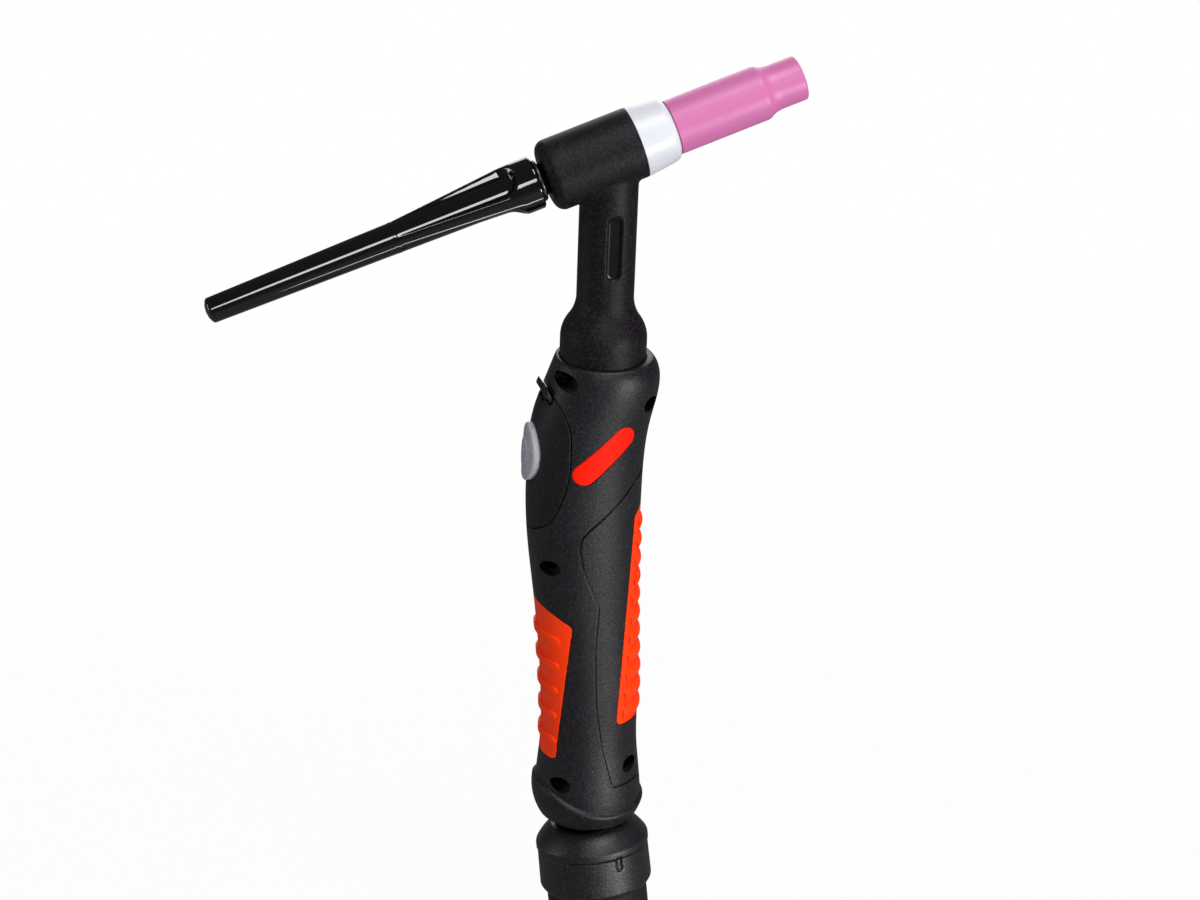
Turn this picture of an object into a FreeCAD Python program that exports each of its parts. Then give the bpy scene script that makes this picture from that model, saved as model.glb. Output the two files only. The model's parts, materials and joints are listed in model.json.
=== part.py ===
import FreeCAD
import Part
import math
import os

# A gas tungsten arc welding torch: head with nozzle and long back cap, two-shell handle
# with a trigger module, soft grip pads and a ball knuckle where the cable comes in.
# Lengths are in millimetres. +Z runs up the handle, +X points to the nozzle side and the
# origin is the middle of the grip. The torch is symmetric about Y = 0, apart from its
# screws and the way its knuckle leans.

V = FreeCAD.Vector

# Clearances
RUNNING_FIT = 0.05        # round pieces that turn or slide in each other, per side
BALL_FIT = 0.1            # between the ball and its seats
SEAM = 0.25               # open seam round a fitted cover
PAD_FIT = 0.12            # round a soft pad in its pocket
PARTING_GAP = 0.1         # between the two handle shells
MOVING_GAP = 0.3          # between pieces that move past each other
SEATED = 0.02             # between pieces that are seated on each other
BEYOND = 60.0             # how far a cutting tool reaches past the torch
SECTION_POINTS = 97       # along an outline of the handle, to measure it

# Head. Stations along the head's axis are counted from where it crosses the handle's
# axis, with the nozzle side positive.
HEAD_HEIGHT = 160.0       # where the two axes cross
HEAD_ANGLE = 70.5         # between the two axes
COVER_RADIUS = 12.15
COVER_REAR = -23.5
COVER_FRONT = 9.0
COVER_REAR_WALL = 4.0
COVER_REAR_ROUND = 3.6
COVER_BLEND = 1.8         # where the neck runs into the head
CORE_RADIUS = 8.5
GAS_ROOM = 0.5            # round the collet, inside the head body

# Neck and bell of the moulded cover
NECK_RADIUS = 9.8
FLARE_TOP = 109.0
FLARE_MIDDLE = 102.2
FLARE_MIDDLE_RADIUS = 12.2
FLARE_SWELL = 0.7         # of its two arcs' middles, from its ends
FLARE_SWELL_RISE = 0.4    # and up, for the lower arc
BELL_RADIUS = 14.85
BELL_TOP = 94.5
BELL_SINK = 1.8           # how deep the bell sits in the handle's mouth
NECK_PANEL_HEIGHT = 129.2
NECK_PANEL_LENGTH = 22.9
NECK_PANEL_WIDTH = 5.4
NECK_PANEL_DEPTH = 1.0
PLUG_NECK_RADIUS = 10.8
PLUG_NECK_LENGTH = 4.0
PLUG_FLANGE_RADIUS = 12.3
PLUG_FLANGE_LENGTH = 4.0

# Current and gas path
TUBE_RADIUS = 4.0
TUBE_BORE = 2.5
TUBE_BOTTOM = 31.0
TUBE_TOP_BELOW = 5.3      # its top, under the crossing of the two axes
SOCKET_RADIUS = 5.2
SOCKET_TOP = 36.0
HEX_TOP = 30.0
HEX_BOTTOM = 24.0
HEX_FLATS = 11.0
STUD_RADIUS = 4.76
STUD_BOTTOM = 13.0

# Consumables, along the head's axis
SHIELD_LENGTH = 13.0
SHIELD_FRONT_RADIUS = 10.65
SHIELD_ROUND = 2.4
NOZZLE_LENGTH = 46.5
NOZZLE_RADIUS = 9.3
NOZZLE_TIP_RADIUS = 7.65
NOZZLE_TIP_LENGTH = 14.2
NOZZLE_STEP_LENGTH = 3.4
NOZZLE_STEP_SWELL = 0.25  # of the hollow arc's middle, over the tip
NOZZLE_MOUTH = 4.75
NOZZLE_LIP_ROUND = 0.6
NOZZLE_SEAT = 2.0         # width of its seat on the shield
NOZZLE_CHAMBER = 7.0
NOZZLE_THREAD = 6.2
NOZZLE_THREAD_LENGTH = 12.0
COLLET_THREAD = 4.76
COLLET_THREAD_LENGTH = 6.0
COLLET_BODY_TUBE = 4.2
COLLET_BODY_FRONT = 50.0
COLLET_RADIUS = 2.95
COLLET_NOSE_RADIUS = 1.9
COLLET_NOSE_LENGTH = 2.4
COLLET_SEAT_LENGTH = 3.84  # of the cone that it is pushed into
GAS_HOLE_RADIUS = 0.9
GAS_HOLE_STATION = 40.0
GAS_HOLES = 4
COLLET_SLIT = 0.4
COLLET_SLIT_LENGTH = 20.0
COLLET_SLITS = 4
ELECTRODE_RADIUS = 1.2
ELECTRODE_LENGTH = 150.0
ELECTRODE_POINT = 5.0
ELECTRODE_END = 0.15      # radius of the flat on its point
ELECTRODE_SETBACK = 6.5   # how far its tip stays inside the nozzle's mouth

# Back cap
CAP_THREAD = 5.4
CAP_INNER_END = -8.3
CAP_COLLAR_FRONT = -26.5
CAP_COLLAR_RADIUS = 9.0
CAP_COLLAR_LENGTH = 7.2
CAP_TAIL = -142.7
CAP_TAIL_RADIUS = 4.3
CAP_TAIL_DOME = 1.1
CAP_TAIL_CHAMFER = 0.4
CAP_TUBE_RADIUS = 6.0     # the plain tube, where it meets the collar
CAP_RIDGES = 3
CAP_RIDGE_WIDTH = 4.6
CAP_RIDGE_LENGTH = 42.3
CAP_RIDGE_END_RADIUS = 5.3
CAP_FLUTE_TURN = 94.9     # degrees, middle of the first flute
CAP_FLUTE_ROUND = 6.4     # the flutes end in an arch at the collar
CAP_FLUTE_END = 7.2       # top of that arch, from the collar's front
CAP_COLLAR_CHAMFER = 0.4
CAP_BORE = 2.0
CAP_END_WALL = 5.0
O_RING_WIRE = 0.8

# Handle: height, reach to the trigger side, reach to the nozzle side, half width
GRIP_MOUTH = (88.0, 16.2, 17.1, 16.5)
GRIP_BROW = (84.0, 17.6, 19.4, 18.2)
GRIP_SHOULDER = (79.0, 19.5, 19.9, 18.6)
GRIP_BROW_END = (66.0, 23.9, 17.5, 18.0)
GRIP_TRIGGER = (52.0, 25.2, 15.7, 17.4)
GRIP_CHEST = (38.0, 25.5, 15.3, 17.0)
GRIP_BELLY = (20.0, 24.5, 15.3, 16.7)
GRIP_MIDDLE = (0.0, 22.0, 15.6, 16.2)
GRIP_WAIST = (-20.0, 19.7, 16.4, 15.7)
GRIP_HEEL = (-42.0, 18.0, 17.3, 15.7)
GRIP_FOOT = (-61.0, 17.7, 17.5, 16.4)
GRIP_TAIL = (-78.0, 18.9, 19.3, 18.6)
GRIP_SKIRT = (-84.5, 18.8, 19.4, 19.0)
WALL = 2.4
MOUTH_ROUND = 1.2
TOP_BLOCK = 75.0          # the solid block that clamps the head starts here
TAIL_BLOCK = -72.0        # and the one that clamps the ball starts here

# Tail bowl of the handle
BOWL_CENTRE = -80.0
BOWL_RADIUS = 20.75
BOWL_MOUTH = -90.3
BOWL_TOP = -79.2
BOWL_TILT = 11.5
BOWL_SADDLE = 45.0        # its top edge dips at the sides, on a barrel of this radius
BOWL_ROUND = 1.6
BOWL_SHIFT = 0.5          # the bowl sits this far to the nozzle side
TAIL_SHIFT = 0.8          # and the ball and the knuckle this far

# Screws that hold the two shells together: place along X and height
SCREW_PLACES = ((-14.9, 82.6), (14.2, 73.5), (-19.0, 13.5), (12.0, -67.2), (-13.2, -73.4))
SCREW_SHANK = 1.5
SCREW_HEAD = 2.4
SCREW_HEAD_HEIGHT = 1.8
SCREW_SEAT = 3.0          # distance of the heads' seat from the parting plane
SCREW_REACH = 6.5         # how far the shank enters the far shell
SCREW_RECESS = 3.0
SCREW_BOSS = 3.4
CROSS_WIDTH = 0.7
CROSS_LENGTH = 2.8
CROSS_DEPTH = 0.9

# Trigger module, its seam as points in the side view
MODULE_TOP = (-22.5, 83.0)  # outside the surface, it only guides the seam
MODULE_HEAD = (-19.4, 77.1)
MODULE_BROW = (-16.2, 71.7)
MODULE_SIDE = (-14.3, 60.0)
MODULE_CHEEK = (-15.3, 45.0)
MODULE_CHIN = (-20.0, 31.0)
MODULE_BOTTOM = (-28.0, 22.6)
MODULE_WALL = 2.2
LEDGE_WIDTH = 1.6
LEDGE_THICKNESS = 1.5
MODULE_ROOM = 4.6         # depth kept free behind the front of the board
MODULE_ROOM_SIDE = 0.5    # and beside it

# Button and switch
BUTTON_HEIGHT = 54.1      # its middle, up the handle
BUTTON_LONG = 10.5        # half its length
BUTTON_SHORT = 7.3        # half its width
BUTTON_PROUD = 1.8
BUTTON_CROWN_ROUND = 1.0
BUTTON_LIP = 1.4
BUTTON_LIP_THICKNESS = 1.1
BUTTON_STROKE = 1.5
BUTTON_STEM = 2.2
BUTTON_STEM_LENGTH = 6.8
MARK_LONG = 5.4
MARK_SHORT = 3.3
MARK_LINE = 0.8
MARK_PROUD = 0.4
BOARD_FRONT = -10.0
BOARD_THICKNESS = 1.6
BOARD_ABOVE = 18.0        # how far the board reaches over the button's middle
BOARD_BELOW = 24.0        # and under it
BOARD_WIDTH = 11.2
BOARD_SCREW_SPACING = 29.2
BOARD_POST = 1.9
BOARD_SCREW = 0.9
BOARD_SCREW_HEAD = 1.8
BOARD_SCREW_HEAD_HEIGHT = 1.2
BOARD_SCREW_REACH = 6.0
SWITCH_DEPTH = 6.4
SWITCH_WIDTH = 6.4
SWITCH_LENGTH = 12.8
PLUNGER_RADIUS = 1.3
PLUNGER_LENGTH = 3.4
SPRING_RADIUS = 2.95
SPRING_WIRE = 0.25
SPRING_TURNS = 4
TERMINAL_DEPTH = 2.4
TERMINAL_WIDTH = 6.0
TERMINAL_LENGTH = 5.4

# Latch at the module's top
LATCH_WIDTH = 14.0
LATCH_TONGUE_WIDTH = 6.0
LATCH_PROUD = 2.4
LATCH_THICKNESS = 1.8
LATCH_ROOT = 73.5
LATCH_SUNK = 0.8          # how deep the tongue lies under the surface

# Leads from the switch to their connector
LEAD_RADIUS = 0.8
LEAD_SPACING = 3.2
LEAD_ROUTE = ((-7.3, 20.0), (-11.0, 0.0), (-9.4, -15.0))
LEAD_BEND = 60.0
CONNECTOR_TOP = -25.0
CONNECTOR_LENGTH = 13.0
CONNECTOR_DEPTH = 5.0
CONNECTOR_WIDTH = 7.6

# Ribs inside the shells
SADDLE_TOP = 44.0
SADDLE_THICKNESS = 3.0
CLIP_TOP = -28.0
CLIP_THICKNESS = 3.0

# Label plate: ends of its middle line, in the side view
LABEL_LOW = (-9.6, 51.0)
LABEL_HIGH = (4.0, 63.6)
LABEL_RADIUS = 4.1
LABEL_DEPTH = 1.0
LABEL_SUNK = 0.15

# Groove that bounds the side panel, in the side view from the top down
GROOVE_PATH = (
    (24.0, 57.3), (-7.4, 30.0), (-10.1, 26.6), (-10.6, 22.4), (-9.2, 14.5), (-3.0, -1.4),
    (-3.7, -18.0), (-2.6, -40.0), (0.2, -59.0), (4.2, -74.0), (26.0, -74.6),
)
GROOVE_WIDTH = 0.9
GROOVE_DEPTH = 0.6
GROOVE_ROUND = 2.5

# Soft pads, outlines in the side view
PAD_DEPTH = 1.3
PAD_ROUND = 2.2
FRONT_PAD = ((-30.0, 3.0), (-11.2, -9.0), (-14.5, -64.3), (-30.0, -66.5))
REAR_PAD = ((24.0, 40.6), (10.8, 30.9), (5.9, -49.9), (24.0, -49.9))
RIB_PROUD = 0.9
FRONT_RIB_PROUD = 1.0
RIB_GROOVE = 0.8          # depth between the rear ribs
RIB_MARGIN = 0.8          # plain edge left round the front ribs
REAR_RIB_MARGIN = 2.6     # plain edge left in front of the rear ribs
FRONT_RIBS = 5
FRONT_RIB_TOP = -15.7     # height of the first rib's inner end
FRONT_RIB_PITCH = 10.3
FRONT_RIB_WIDTH = 3.0
FRONT_RIB_END = -16.6
FRONT_RIB_RUN = 20.0
FRONT_RIB_SLOPE = -15.0
REAR_RIBS = 11
REAR_RIB_TOP = 26.4
REAR_RIB_PITCH = 7.21

# Ball joint and knuckle. Stations along the knuckle's axis are counted down from the
# ball's centre.
BALL_HEIGHT = -87.7
BALL_RADIUS = 14.6
BALL_BORE = 9.0
BALL_TOP = 9.4
STEM_RADIUS = 11.0
STEM_END = 22.0
SEAT_RING_TOP = -78.5
SEAT_RING_BOTTOM = -84.5
SEAT_RING_RADIUS = 16.2
CABLE_OPENING = 11.0
KNUCKLE_LEAN = 10.8       # degrees from straight
KNUCKLE_TURN = -63.0      # the way that it leans, in degrees from +X
DOME_TOP = 7.9
DOME_TOP_RADIUS = 14.65
DOME_SHOULDER = 14.7
DOME_SHOULDER_RADIUS = 20.7
DOME_BULGE = (18.25, 11.3)
DOME_WEB = 11.5
DOME_END = 17.4
DOME_WALL = 3.1
LOCK_NUT_RADIUS = 15.0
LOCK_NUT_LENGTH = 4.0
NUT_SLOTS = 4
NUT_SLOT_WIDTH = 2.0
NUT_SLOT_DEPTH = 1.5
RING_STEP = 0.35
RING_FOOT_RADIUS = 20.6
RING_CHAMFER = 31.2
RING_END = 33.2
RING_END_RADIUS = 19.2
RING_SPIGOT = 3.0
RING_WALL = 2.2
NOTCH_WIDTH = 2.3
NOTCH_LENGTH = 5.3
NOTCH_DEPTH = 1.2
NOTCH_RISE = 0.6          # how far they reach up into the dome
NOTCHES = 3
NOTCH_TURN = 14.0
SLEEVE_RADIUS = 18.4
SLEEVE_TOP = 27.0
SLEEVE_END = 60.0
SLEEVE_BORE = 13.0
SLEEVE_POCKET = 15.2
SLEEVE_INLET = 22.0
SLEEVE_ROUND = 1.5

STATIONS = (
    GRIP_MOUTH, GRIP_BROW, GRIP_SHOULDER, GRIP_BROW_END, GRIP_TRIGGER, GRIP_CHEST,
    GRIP_BELLY, GRIP_MIDDLE, GRIP_WAIST, GRIP_HEEL, GRIP_FOOT, GRIP_TAIL, GRIP_SKIRT,
)
HANDLE_TOP = GRIP_MOUTH[0]
BELL_BOTTOM = HANDLE_TOP - BELL_SINK
PLUG_NECK_BOTTOM = BELL_BOTTOM - PLUG_NECK_LENGTH
PLUG_BOTTOM = PLUG_NECK_BOTTOM - PLUG_FLANGE_LENGTH
CORE_REAR = COVER_REAR + COVER_REAR_WALL
NOZZLE_REAR = COVER_FRONT + SHIELD_LENGTH
NOZZLE_FRONT = NOZZLE_REAR + NOZZLE_LENGTH
ELECTRODE_TIP = NOZZLE_FRONT - ELECTRODE_SETBACK
COLLET_REAR = CAP_INNER_END + 2 * RUNNING_FIT
COLLET_BODY_REAR = COVER_FRONT - COLLET_THREAD_LENGTH
SWITCH_FRONT = BOARD_FRONT - SWITCH_DEPTH
PLUNGER_PROUD = BUTTON_STROKE + MOVING_GAP
PLUNGER_TIP = SWITCH_FRONT - PLUNGER_PROUD


# Basic solids

def rod(radius, low, high):
    """Round bar up Z between two heights."""
    return Part.makeCylinder(radius, high - low, V(0, 0, low))


def tube(radius, bore, low, high):
    """Round tube up Z between two heights."""
    return rod(radius, low, high).cut(rod(bore, low - 1, high + 1))


def rod_along(axis, radius, place, length):
    """Round bar from a place, along an axis."""
    return Part.makeCylinder(radius, length, V(*place), V(*axis))


def block(low, high):
    """Box between two corners."""
    size = [b - a for a, b in zip(low, high)]
    return Part.makeBox(*size, V(*low))


def slab(low, high):
    """All that lies between two heights."""
    return block((-BEYOND, -BEYOND, low), (BEYOND, BEYOND, high))


def path_edges(start, steps):
    """Edges of an outline in the XZ plane: a step is a point, or an arc's middle and end."""
    edges = []
    here = V(start[0], 0, start[1])
    for step in steps:
        if isinstance(step[0], tuple):
            middle, end = step
            there = V(end[0], 0, end[1])
            edges.append(Part.Arc(here, V(middle[0], 0, middle[1]), there).toShape())
        else:
            there = V(step[0], 0, step[1])
            edges.append(Part.makeLine(here, there))
        here = there
    return edges


def turned(start, *steps):
    """Solid turned about Z from a closed outline of radius and height."""
    edges = path_edges(start, steps + (start,))
    return Part.Face(Part.Wire(edges)).revolve(V(0, 0, 0), V(0, 0, 1), 360)


def side_face(start, *steps):
    """Flat face in the side view, from a closed outline of X and height."""
    return Part.Face(Part.Wire(path_edges(start, steps + (start,))))


def through_width(face):
    """Solid that a side-view face cuts through the whole width."""
    moved = face.copy()
    moved.translate(V(0, -BEYOND, 0))
    return moved.extrude(V(0, 2 * BEYOND, 0))


def wider(face, distance):
    """The same face, grown on every side, or shrunk where the distance is negative."""
    return face.makeOffset2D(distance)


def rounded_face(points, radius):
    """Side-view polygon with rounded corners."""
    face = side_face(points[0], *points[1:])
    solid = through_width(face)
    corners = [e for e in solid.Edges if abs(e.Length - 2 * BEYOND) < 0.01]
    rounded = solid.makeFillet(radius, corners)
    cut = rounded.slice(V(0, 1, 0), 0)
    return Part.Face(cut[0])


def capsule_face(start, end, radius):
    """Side-view face with round ends, along a line between two points."""
    a = V(start[0], 0, start[1])
    b = V(end[0], 0, end[1])
    along = (b - a).normalize()
    across = V(-along.z, 0, along.x) * radius
    edges = [
        Part.makeLine(a + across, b + across),
        Part.Arc(b + across, b + along * radius, b - across).toShape(),
        Part.makeLine(b - across, a - across),
        Part.Arc(a - across, a - along * radius, a + across).toShape(),
    ]
    return Part.Face(Part.Wire(edges))


def oval_bar(long_half, short_half, height, near, far):
    """Oval bar along X with its long side upright, between two places on X."""
    ellipse = Part.Ellipse(V(near, 0, height + long_half), V(near, short_half, height),
                           V(near, 0, height))
    face = Part.Face(Part.Wire(ellipse.toShape()))
    return face.extrude(V(far - near, 0, 0))


def arrange(shape, count):
    """Copies of a shape evenly round Z, as one shape."""
    copies = []
    for index in range(count):
        copy = shape.copy()
        copy.rotate(V(0, 0, 0), V(0, 0, 1), 360 * index / count)
        copies.append(copy)
    return Part.makeCompound(copies)


def on_head(shape):
    """Move a shape from its own Z axis to the head's axis."""
    placed = shape.copy()
    placed.rotate(V(0, 0, 0), V(0, 1, 0), HEAD_ANGLE)
    placed.translate(V(0, 0, HEAD_HEIGHT))
    return placed


def on_tail(shape):
    """Move a shape from the handle's axis to the ball's."""
    placed = shape.copy()
    placed.translate(V(TAIL_SHIFT, 0, 0))
    return placed


def on_knuckle(shape):
    """Move a shape from the ball's centre at the origin to the leaning knuckle."""
    turn = math.radians(KNUCKLE_TURN)
    placed = shape.copy()
    placed.rotate(V(0, 0, 0), V(math.sin(turn), -math.cos(turn), 0), KNUCKLE_LEAN)
    placed.translate(V(TAIL_SHIFT, 0, BALL_HEIGHT))
    return placed


def half(side):
    """All that lies on one side of the parting plane."""
    near = side * PARTING_GAP / 2
    low, high = sorted((near, side * BEYOND))
    return block((-BEYOND, low, -3 * BEYOND), (BEYOND, high, 3 * BEYOND))


# The handle's outer form

FORMS = {}


def form(offset=0.0):
    """The handle's outer form, grown by an offset."""
    if offset not in FORMS:
        wires = []
        for height, front, rear, width in STATIONS:
            middle = V((rear - front) / 2, 0, height)
            reach = (rear + front) / 2 + offset
            ellipse = Part.Ellipse(middle + V(reach, 0, 0), middle + V(0, width + offset, 0),
                                   middle)
            wires.append(Part.Wire(ellipse.toShape()))
        FORMS[offset] = Part.makeLoft(wires, True)
    return FORMS[offset]


def layer(shape, outside, inside):
    """The part of a shape that lies between two offsets of the form."""
    return shape.common(form(outside)).cut(form(inside))


def section(height, offset):
    """Outline of the form at one height, grown by an offset."""
    points = form().slice(V(0, 0, 1), height)[0].discretize(SECTION_POINTS)
    rear = max(point.x for point in points)
    front = min(point.x for point in points)
    width = max(point.y for point in points)
    middle = V((rear + front) / 2, 0, height)
    reach = (rear - front) / 2 + offset
    ellipse = Part.Ellipse(middle + V(reach, 0, 0), middle + V(0, width + offset, 0), middle)
    return Part.Wire(ellipse.toShape())


def mirrored(shape):
    """The same shape on the other side of the torch."""
    return shape.mirror(V(0, 0, 0), V(0, 1, 0))


def module_face():
    """Side view of the trigger module."""
    far = -BEYOND
    return side_face((far, MODULE_TOP[1]), MODULE_TOP, MODULE_HEAD, (MODULE_BROW, MODULE_SIDE),
                     (MODULE_CHEEK, MODULE_CHIN), MODULE_BOTTOM, (far, MODULE_BOTTOM[1]))


# Head, neck and consumables

def head_core():
    """Brass head body, bored for the back cap, the collet and the collet body."""
    core = rod(CORE_RADIUS, CORE_REAR, COVER_FRONT)
    core = core.cut(rod(CAP_THREAD + RUNNING_FIT, CORE_REAR - 1, COLLET_REAR))
    core = core.cut(rod(COLLET_RADIUS + GAS_ROOM, COLLET_REAR - 1, COVER_FRONT))
    core = core.cut(rod(COLLET_THREAD + RUNNING_FIT, COLLET_BODY_REAR, COVER_FRONT + 1))
    tube_hole = rod(TUBE_RADIUS, 0, HEAD_HEIGHT - TUBE_TOP_BELOW)
    gas_hole = rod(TUBE_BORE, 0, HEAD_HEIGHT)
    return on_head(core).cut(tube_hole.fuse(gas_hole))


def neck_tube():
    """Copper tube that carries current and gas up the neck."""
    return tube(TUBE_RADIUS - SEATED, TUBE_BORE, TUBE_BOTTOM, HEAD_HEIGHT - TUBE_TOP_BELOW)


def power_stud():
    """Brass end of the neck tube, with the stud that a cable's nut screws on."""
    corners = []
    for index in range(7):
        angle = math.radians(60 * index + 30)
        corners.append(V(math.cos(angle), math.sin(angle), 0) * HEX_FLATS / math.sqrt(3))
    hexagon = Part.Face(Part.makePolygon(corners)).extrude(V(0, 0, HEX_TOP - HEX_BOTTOM))
    hexagon.translate(V(0, 0, HEX_BOTTOM))
    stud = hexagon.fuse(rod(SOCKET_RADIUS, HEX_TOP, SOCKET_TOP))
    stud = stud.fuse(rod(STUD_RADIUS, STUD_BOTTOM, HEX_BOTTOM))
    stud = stud.cut(rod(TUBE_RADIUS, TUBE_BOTTOM, SOCKET_TOP + 1))
    return stud.cut(rod(TUBE_BORE, STUD_BOTTOM - 1, SOCKET_TOP))


def head_cover():
    """Moulded insulating cover over the head, the neck and the bell."""
    head = rod(COVER_RADIUS, COVER_REAR, COVER_FRONT)
    rear_edge = [e for e in head.Edges if abs(e.BoundBox.ZMax - COVER_REAR) < 0.01]
    head = on_head(head.makeFillet(COVER_REAR_ROUND, rear_edge))
    flare_low = (BELL_RADIUS - FLARE_SWELL, (FLARE_MIDDLE + BELL_TOP) / 2 + FLARE_SWELL_RISE)
    flare_high = (NECK_RADIUS + FLARE_SWELL, (FLARE_TOP + FLARE_MIDDLE) / 2)
    neck = turned(
        (0, HEAD_HEIGHT), (NECK_RADIUS, HEAD_HEIGHT), (NECK_RADIUS, FLARE_TOP),
        (flare_high, (FLARE_MIDDLE_RADIUS, FLARE_MIDDLE)),
        (flare_low, (BELL_RADIUS, BELL_TOP)),
        (BELL_RADIUS, BELL_BOTTOM), (PLUG_NECK_RADIUS, BELL_BOTTOM),
        (PLUG_NECK_RADIUS, PLUG_NECK_BOTTOM), (PLUG_FLANGE_RADIUS, PLUG_NECK_BOTTOM),
        (PLUG_FLANGE_RADIUS, PLUG_BOTTOM), (0, PLUG_BOTTOM),
    )
    cover = head.fuse(neck)
    joint = [e for e in cover.Edges if is_neck_joint(e)]
    cover = cover.makeFillet(COVER_BLEND, joint)
    cover = cover.cut(on_head(rod(CORE_RADIUS + SEATED, CORE_REAR - SEATED, COVER_FRONT + 1)))
    cover = cover.cut(on_head(rod(CAP_THREAD + MOVING_GAP, COVER_REAR - 1, CORE_REAR + 1)))
    cover = cover.cut(rod(TUBE_RADIUS + SEATED, PLUG_BOTTOM - 1, HEAD_HEIGHT))
    reach = (NECK_PANEL_LENGTH - NECK_PANEL_WIDTH) / 2
    for side in (-1, 1):
        panel = capsule_face((0, NECK_PANEL_HEIGHT - reach), (0, NECK_PANEL_HEIGHT + reach),
                             NECK_PANEL_WIDTH / 2)
        panel.translate(V(0, side * (NECK_RADIUS - NECK_PANEL_DEPTH), 0))
        cover = cover.cut(panel.extrude(V(0, side * NECK_RADIUS, 0)))
    return cover


def is_neck_joint(edge):
    """Whether an edge is where the neck's round wall meets the head's."""
    middle = edge.valueAt((edge.FirstParameter + edge.LastParameter) / 2)
    on_neck = abs(math.hypot(middle.x, middle.y) - NECK_RADIUS) < 0.01
    return on_neck and FLARE_TOP + 1 < middle.z < HEAD_HEIGHT


def heat_shield():
    """White insulating ring between the head and the nozzle."""
    ring = turned((COLLET_THREAD + MOVING_GAP, COVER_FRONT), (COVER_RADIUS, COVER_FRONT),
                  (SHIELD_FRONT_RADIUS, NOZZLE_REAR), (COLLET_THREAD + MOVING_GAP, NOZZLE_REAR))
    front = [e for e in ring.Edges if abs(e.BoundBox.ZMin - NOZZLE_REAR) < 0.01
             and e.BoundBox.XMax > COLLET_THREAD + 1]
    ring = ring.makeFillet(SHIELD_ROUND, front)
    ring = ring.cut(rod(NOZZLE_RADIUS - NOZZLE_SEAT, NOZZLE_REAR - 1, NOZZLE_REAR + 1))
    return on_head(ring)


def nozzle():
    """Ceramic nozzle with a stepped bore and a reduced tip."""
    step_rear = NOZZLE_FRONT - NOZZLE_TIP_LENGTH
    step_front = step_rear + NOZZLE_STEP_LENGTH
    hollow = (NOZZLE_TIP_RADIUS + NOZZLE_STEP_SWELL, step_front - NOZZLE_STEP_LENGTH / 3)
    thread_end = NOZZLE_REAR + NOZZLE_THREAD_LENGTH
    thread = NOZZLE_THREAD + RUNNING_FIT
    cup = turned(
        (thread, NOZZLE_REAR + SEATED), (NOZZLE_RADIUS, NOZZLE_REAR + SEATED),
        (NOZZLE_RADIUS, step_rear), (hollow, (NOZZLE_TIP_RADIUS, step_front)),
        (NOZZLE_TIP_RADIUS, NOZZLE_FRONT), (NOZZLE_MOUTH, NOZZLE_FRONT),
        (NOZZLE_MOUTH, step_front), (NOZZLE_CHAMBER, step_rear - 1), (NOZZLE_CHAMBER, thread_end),
        (thread, thread_end),
    )
    rims = [e for e in cup.Edges
            if abs(e.BoundBox.ZMax - NOZZLE_FRONT) < 0.01 and e.BoundBox.ZLength < 0.01]
    return on_head(cup.makeFillet(NOZZLE_LIP_ROUND, rims))


def collet_body():
    """Copper body that the nozzle screws on, with gas holes and a closing cone."""
    cone_rear = COLLET_BODY_FRONT - 2 * COLLET_NOSE_LENGTH
    body = rod(COLLET_THREAD, COLLET_BODY_REAR, NOZZLE_REAR)
    thread_end = NOZZLE_REAR + NOZZLE_THREAD_LENGTH
    body = body.fuse(rod(NOZZLE_THREAD, NOZZLE_REAR - 1 + SEATED, thread_end))
    body = body.fuse(rod(COLLET_BODY_TUBE, NOZZLE_REAR, COLLET_BODY_FRONT))
    body = body.cut(rod(COLLET_RADIUS + 2 * RUNNING_FIT, COLLET_BODY_REAR - 1, cone_rear))
    body = body.cut(Part.makeCone(COLLET_RADIUS + 2 * RUNNING_FIT, ELECTRODE_RADIUS + MOVING_GAP,
                                  COLLET_SEAT_LENGTH, V(0, 0, cone_rear)))
    body = body.cut(rod(ELECTRODE_RADIUS + MOVING_GAP, cone_rear, COLLET_BODY_FRONT + 1))
    hole = rod_along((1, 0, 0), GAS_HOLE_RADIUS, (COLLET_RADIUS - 1, 0, GAS_HOLE_STATION),
                     COLLET_BODY_TUBE)
    return on_head(body.cut(arrange(hole, GAS_HOLES)))


def collet():
    """Slit copper collet that grips the electrode."""
    cone_rear = COLLET_BODY_FRONT - 2 * COLLET_NOSE_LENGTH - 2 * RUNNING_FIT
    grip = rod(COLLET_RADIUS, COLLET_REAR, cone_rear)
    nose = Part.makeCone(COLLET_RADIUS, COLLET_NOSE_RADIUS, COLLET_NOSE_LENGTH, V(0, 0, cone_rear))
    bore = rod(ELECTRODE_RADIUS + RUNNING_FIT, COLLET_REAR - 1, COLLET_BODY_FRONT)
    grip = grip.fuse(nose).cut(bore)
    top = cone_rear + COLLET_NOSE_LENGTH + 1
    wide = COLLET_SLIT / 2
    slit = block((0, -wide, top - COLLET_SLIT_LENGTH), (BEYOND, wide, top))
    return on_head(grip.cut(arrange(slit, COLLET_SLITS)))


def electrode():
    """Tungsten electrode, ground to a point."""
    tip_rear = ELECTRODE_TIP - ELECTRODE_POINT
    shank = rod(ELECTRODE_RADIUS, ELECTRODE_TIP - ELECTRODE_LENGTH, tip_rear)
    point = Part.makeCone(ELECTRODE_RADIUS, ELECTRODE_END, ELECTRODE_POINT, V(0, 0, tip_rear))
    return on_head(shank.fuse(point))


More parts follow.
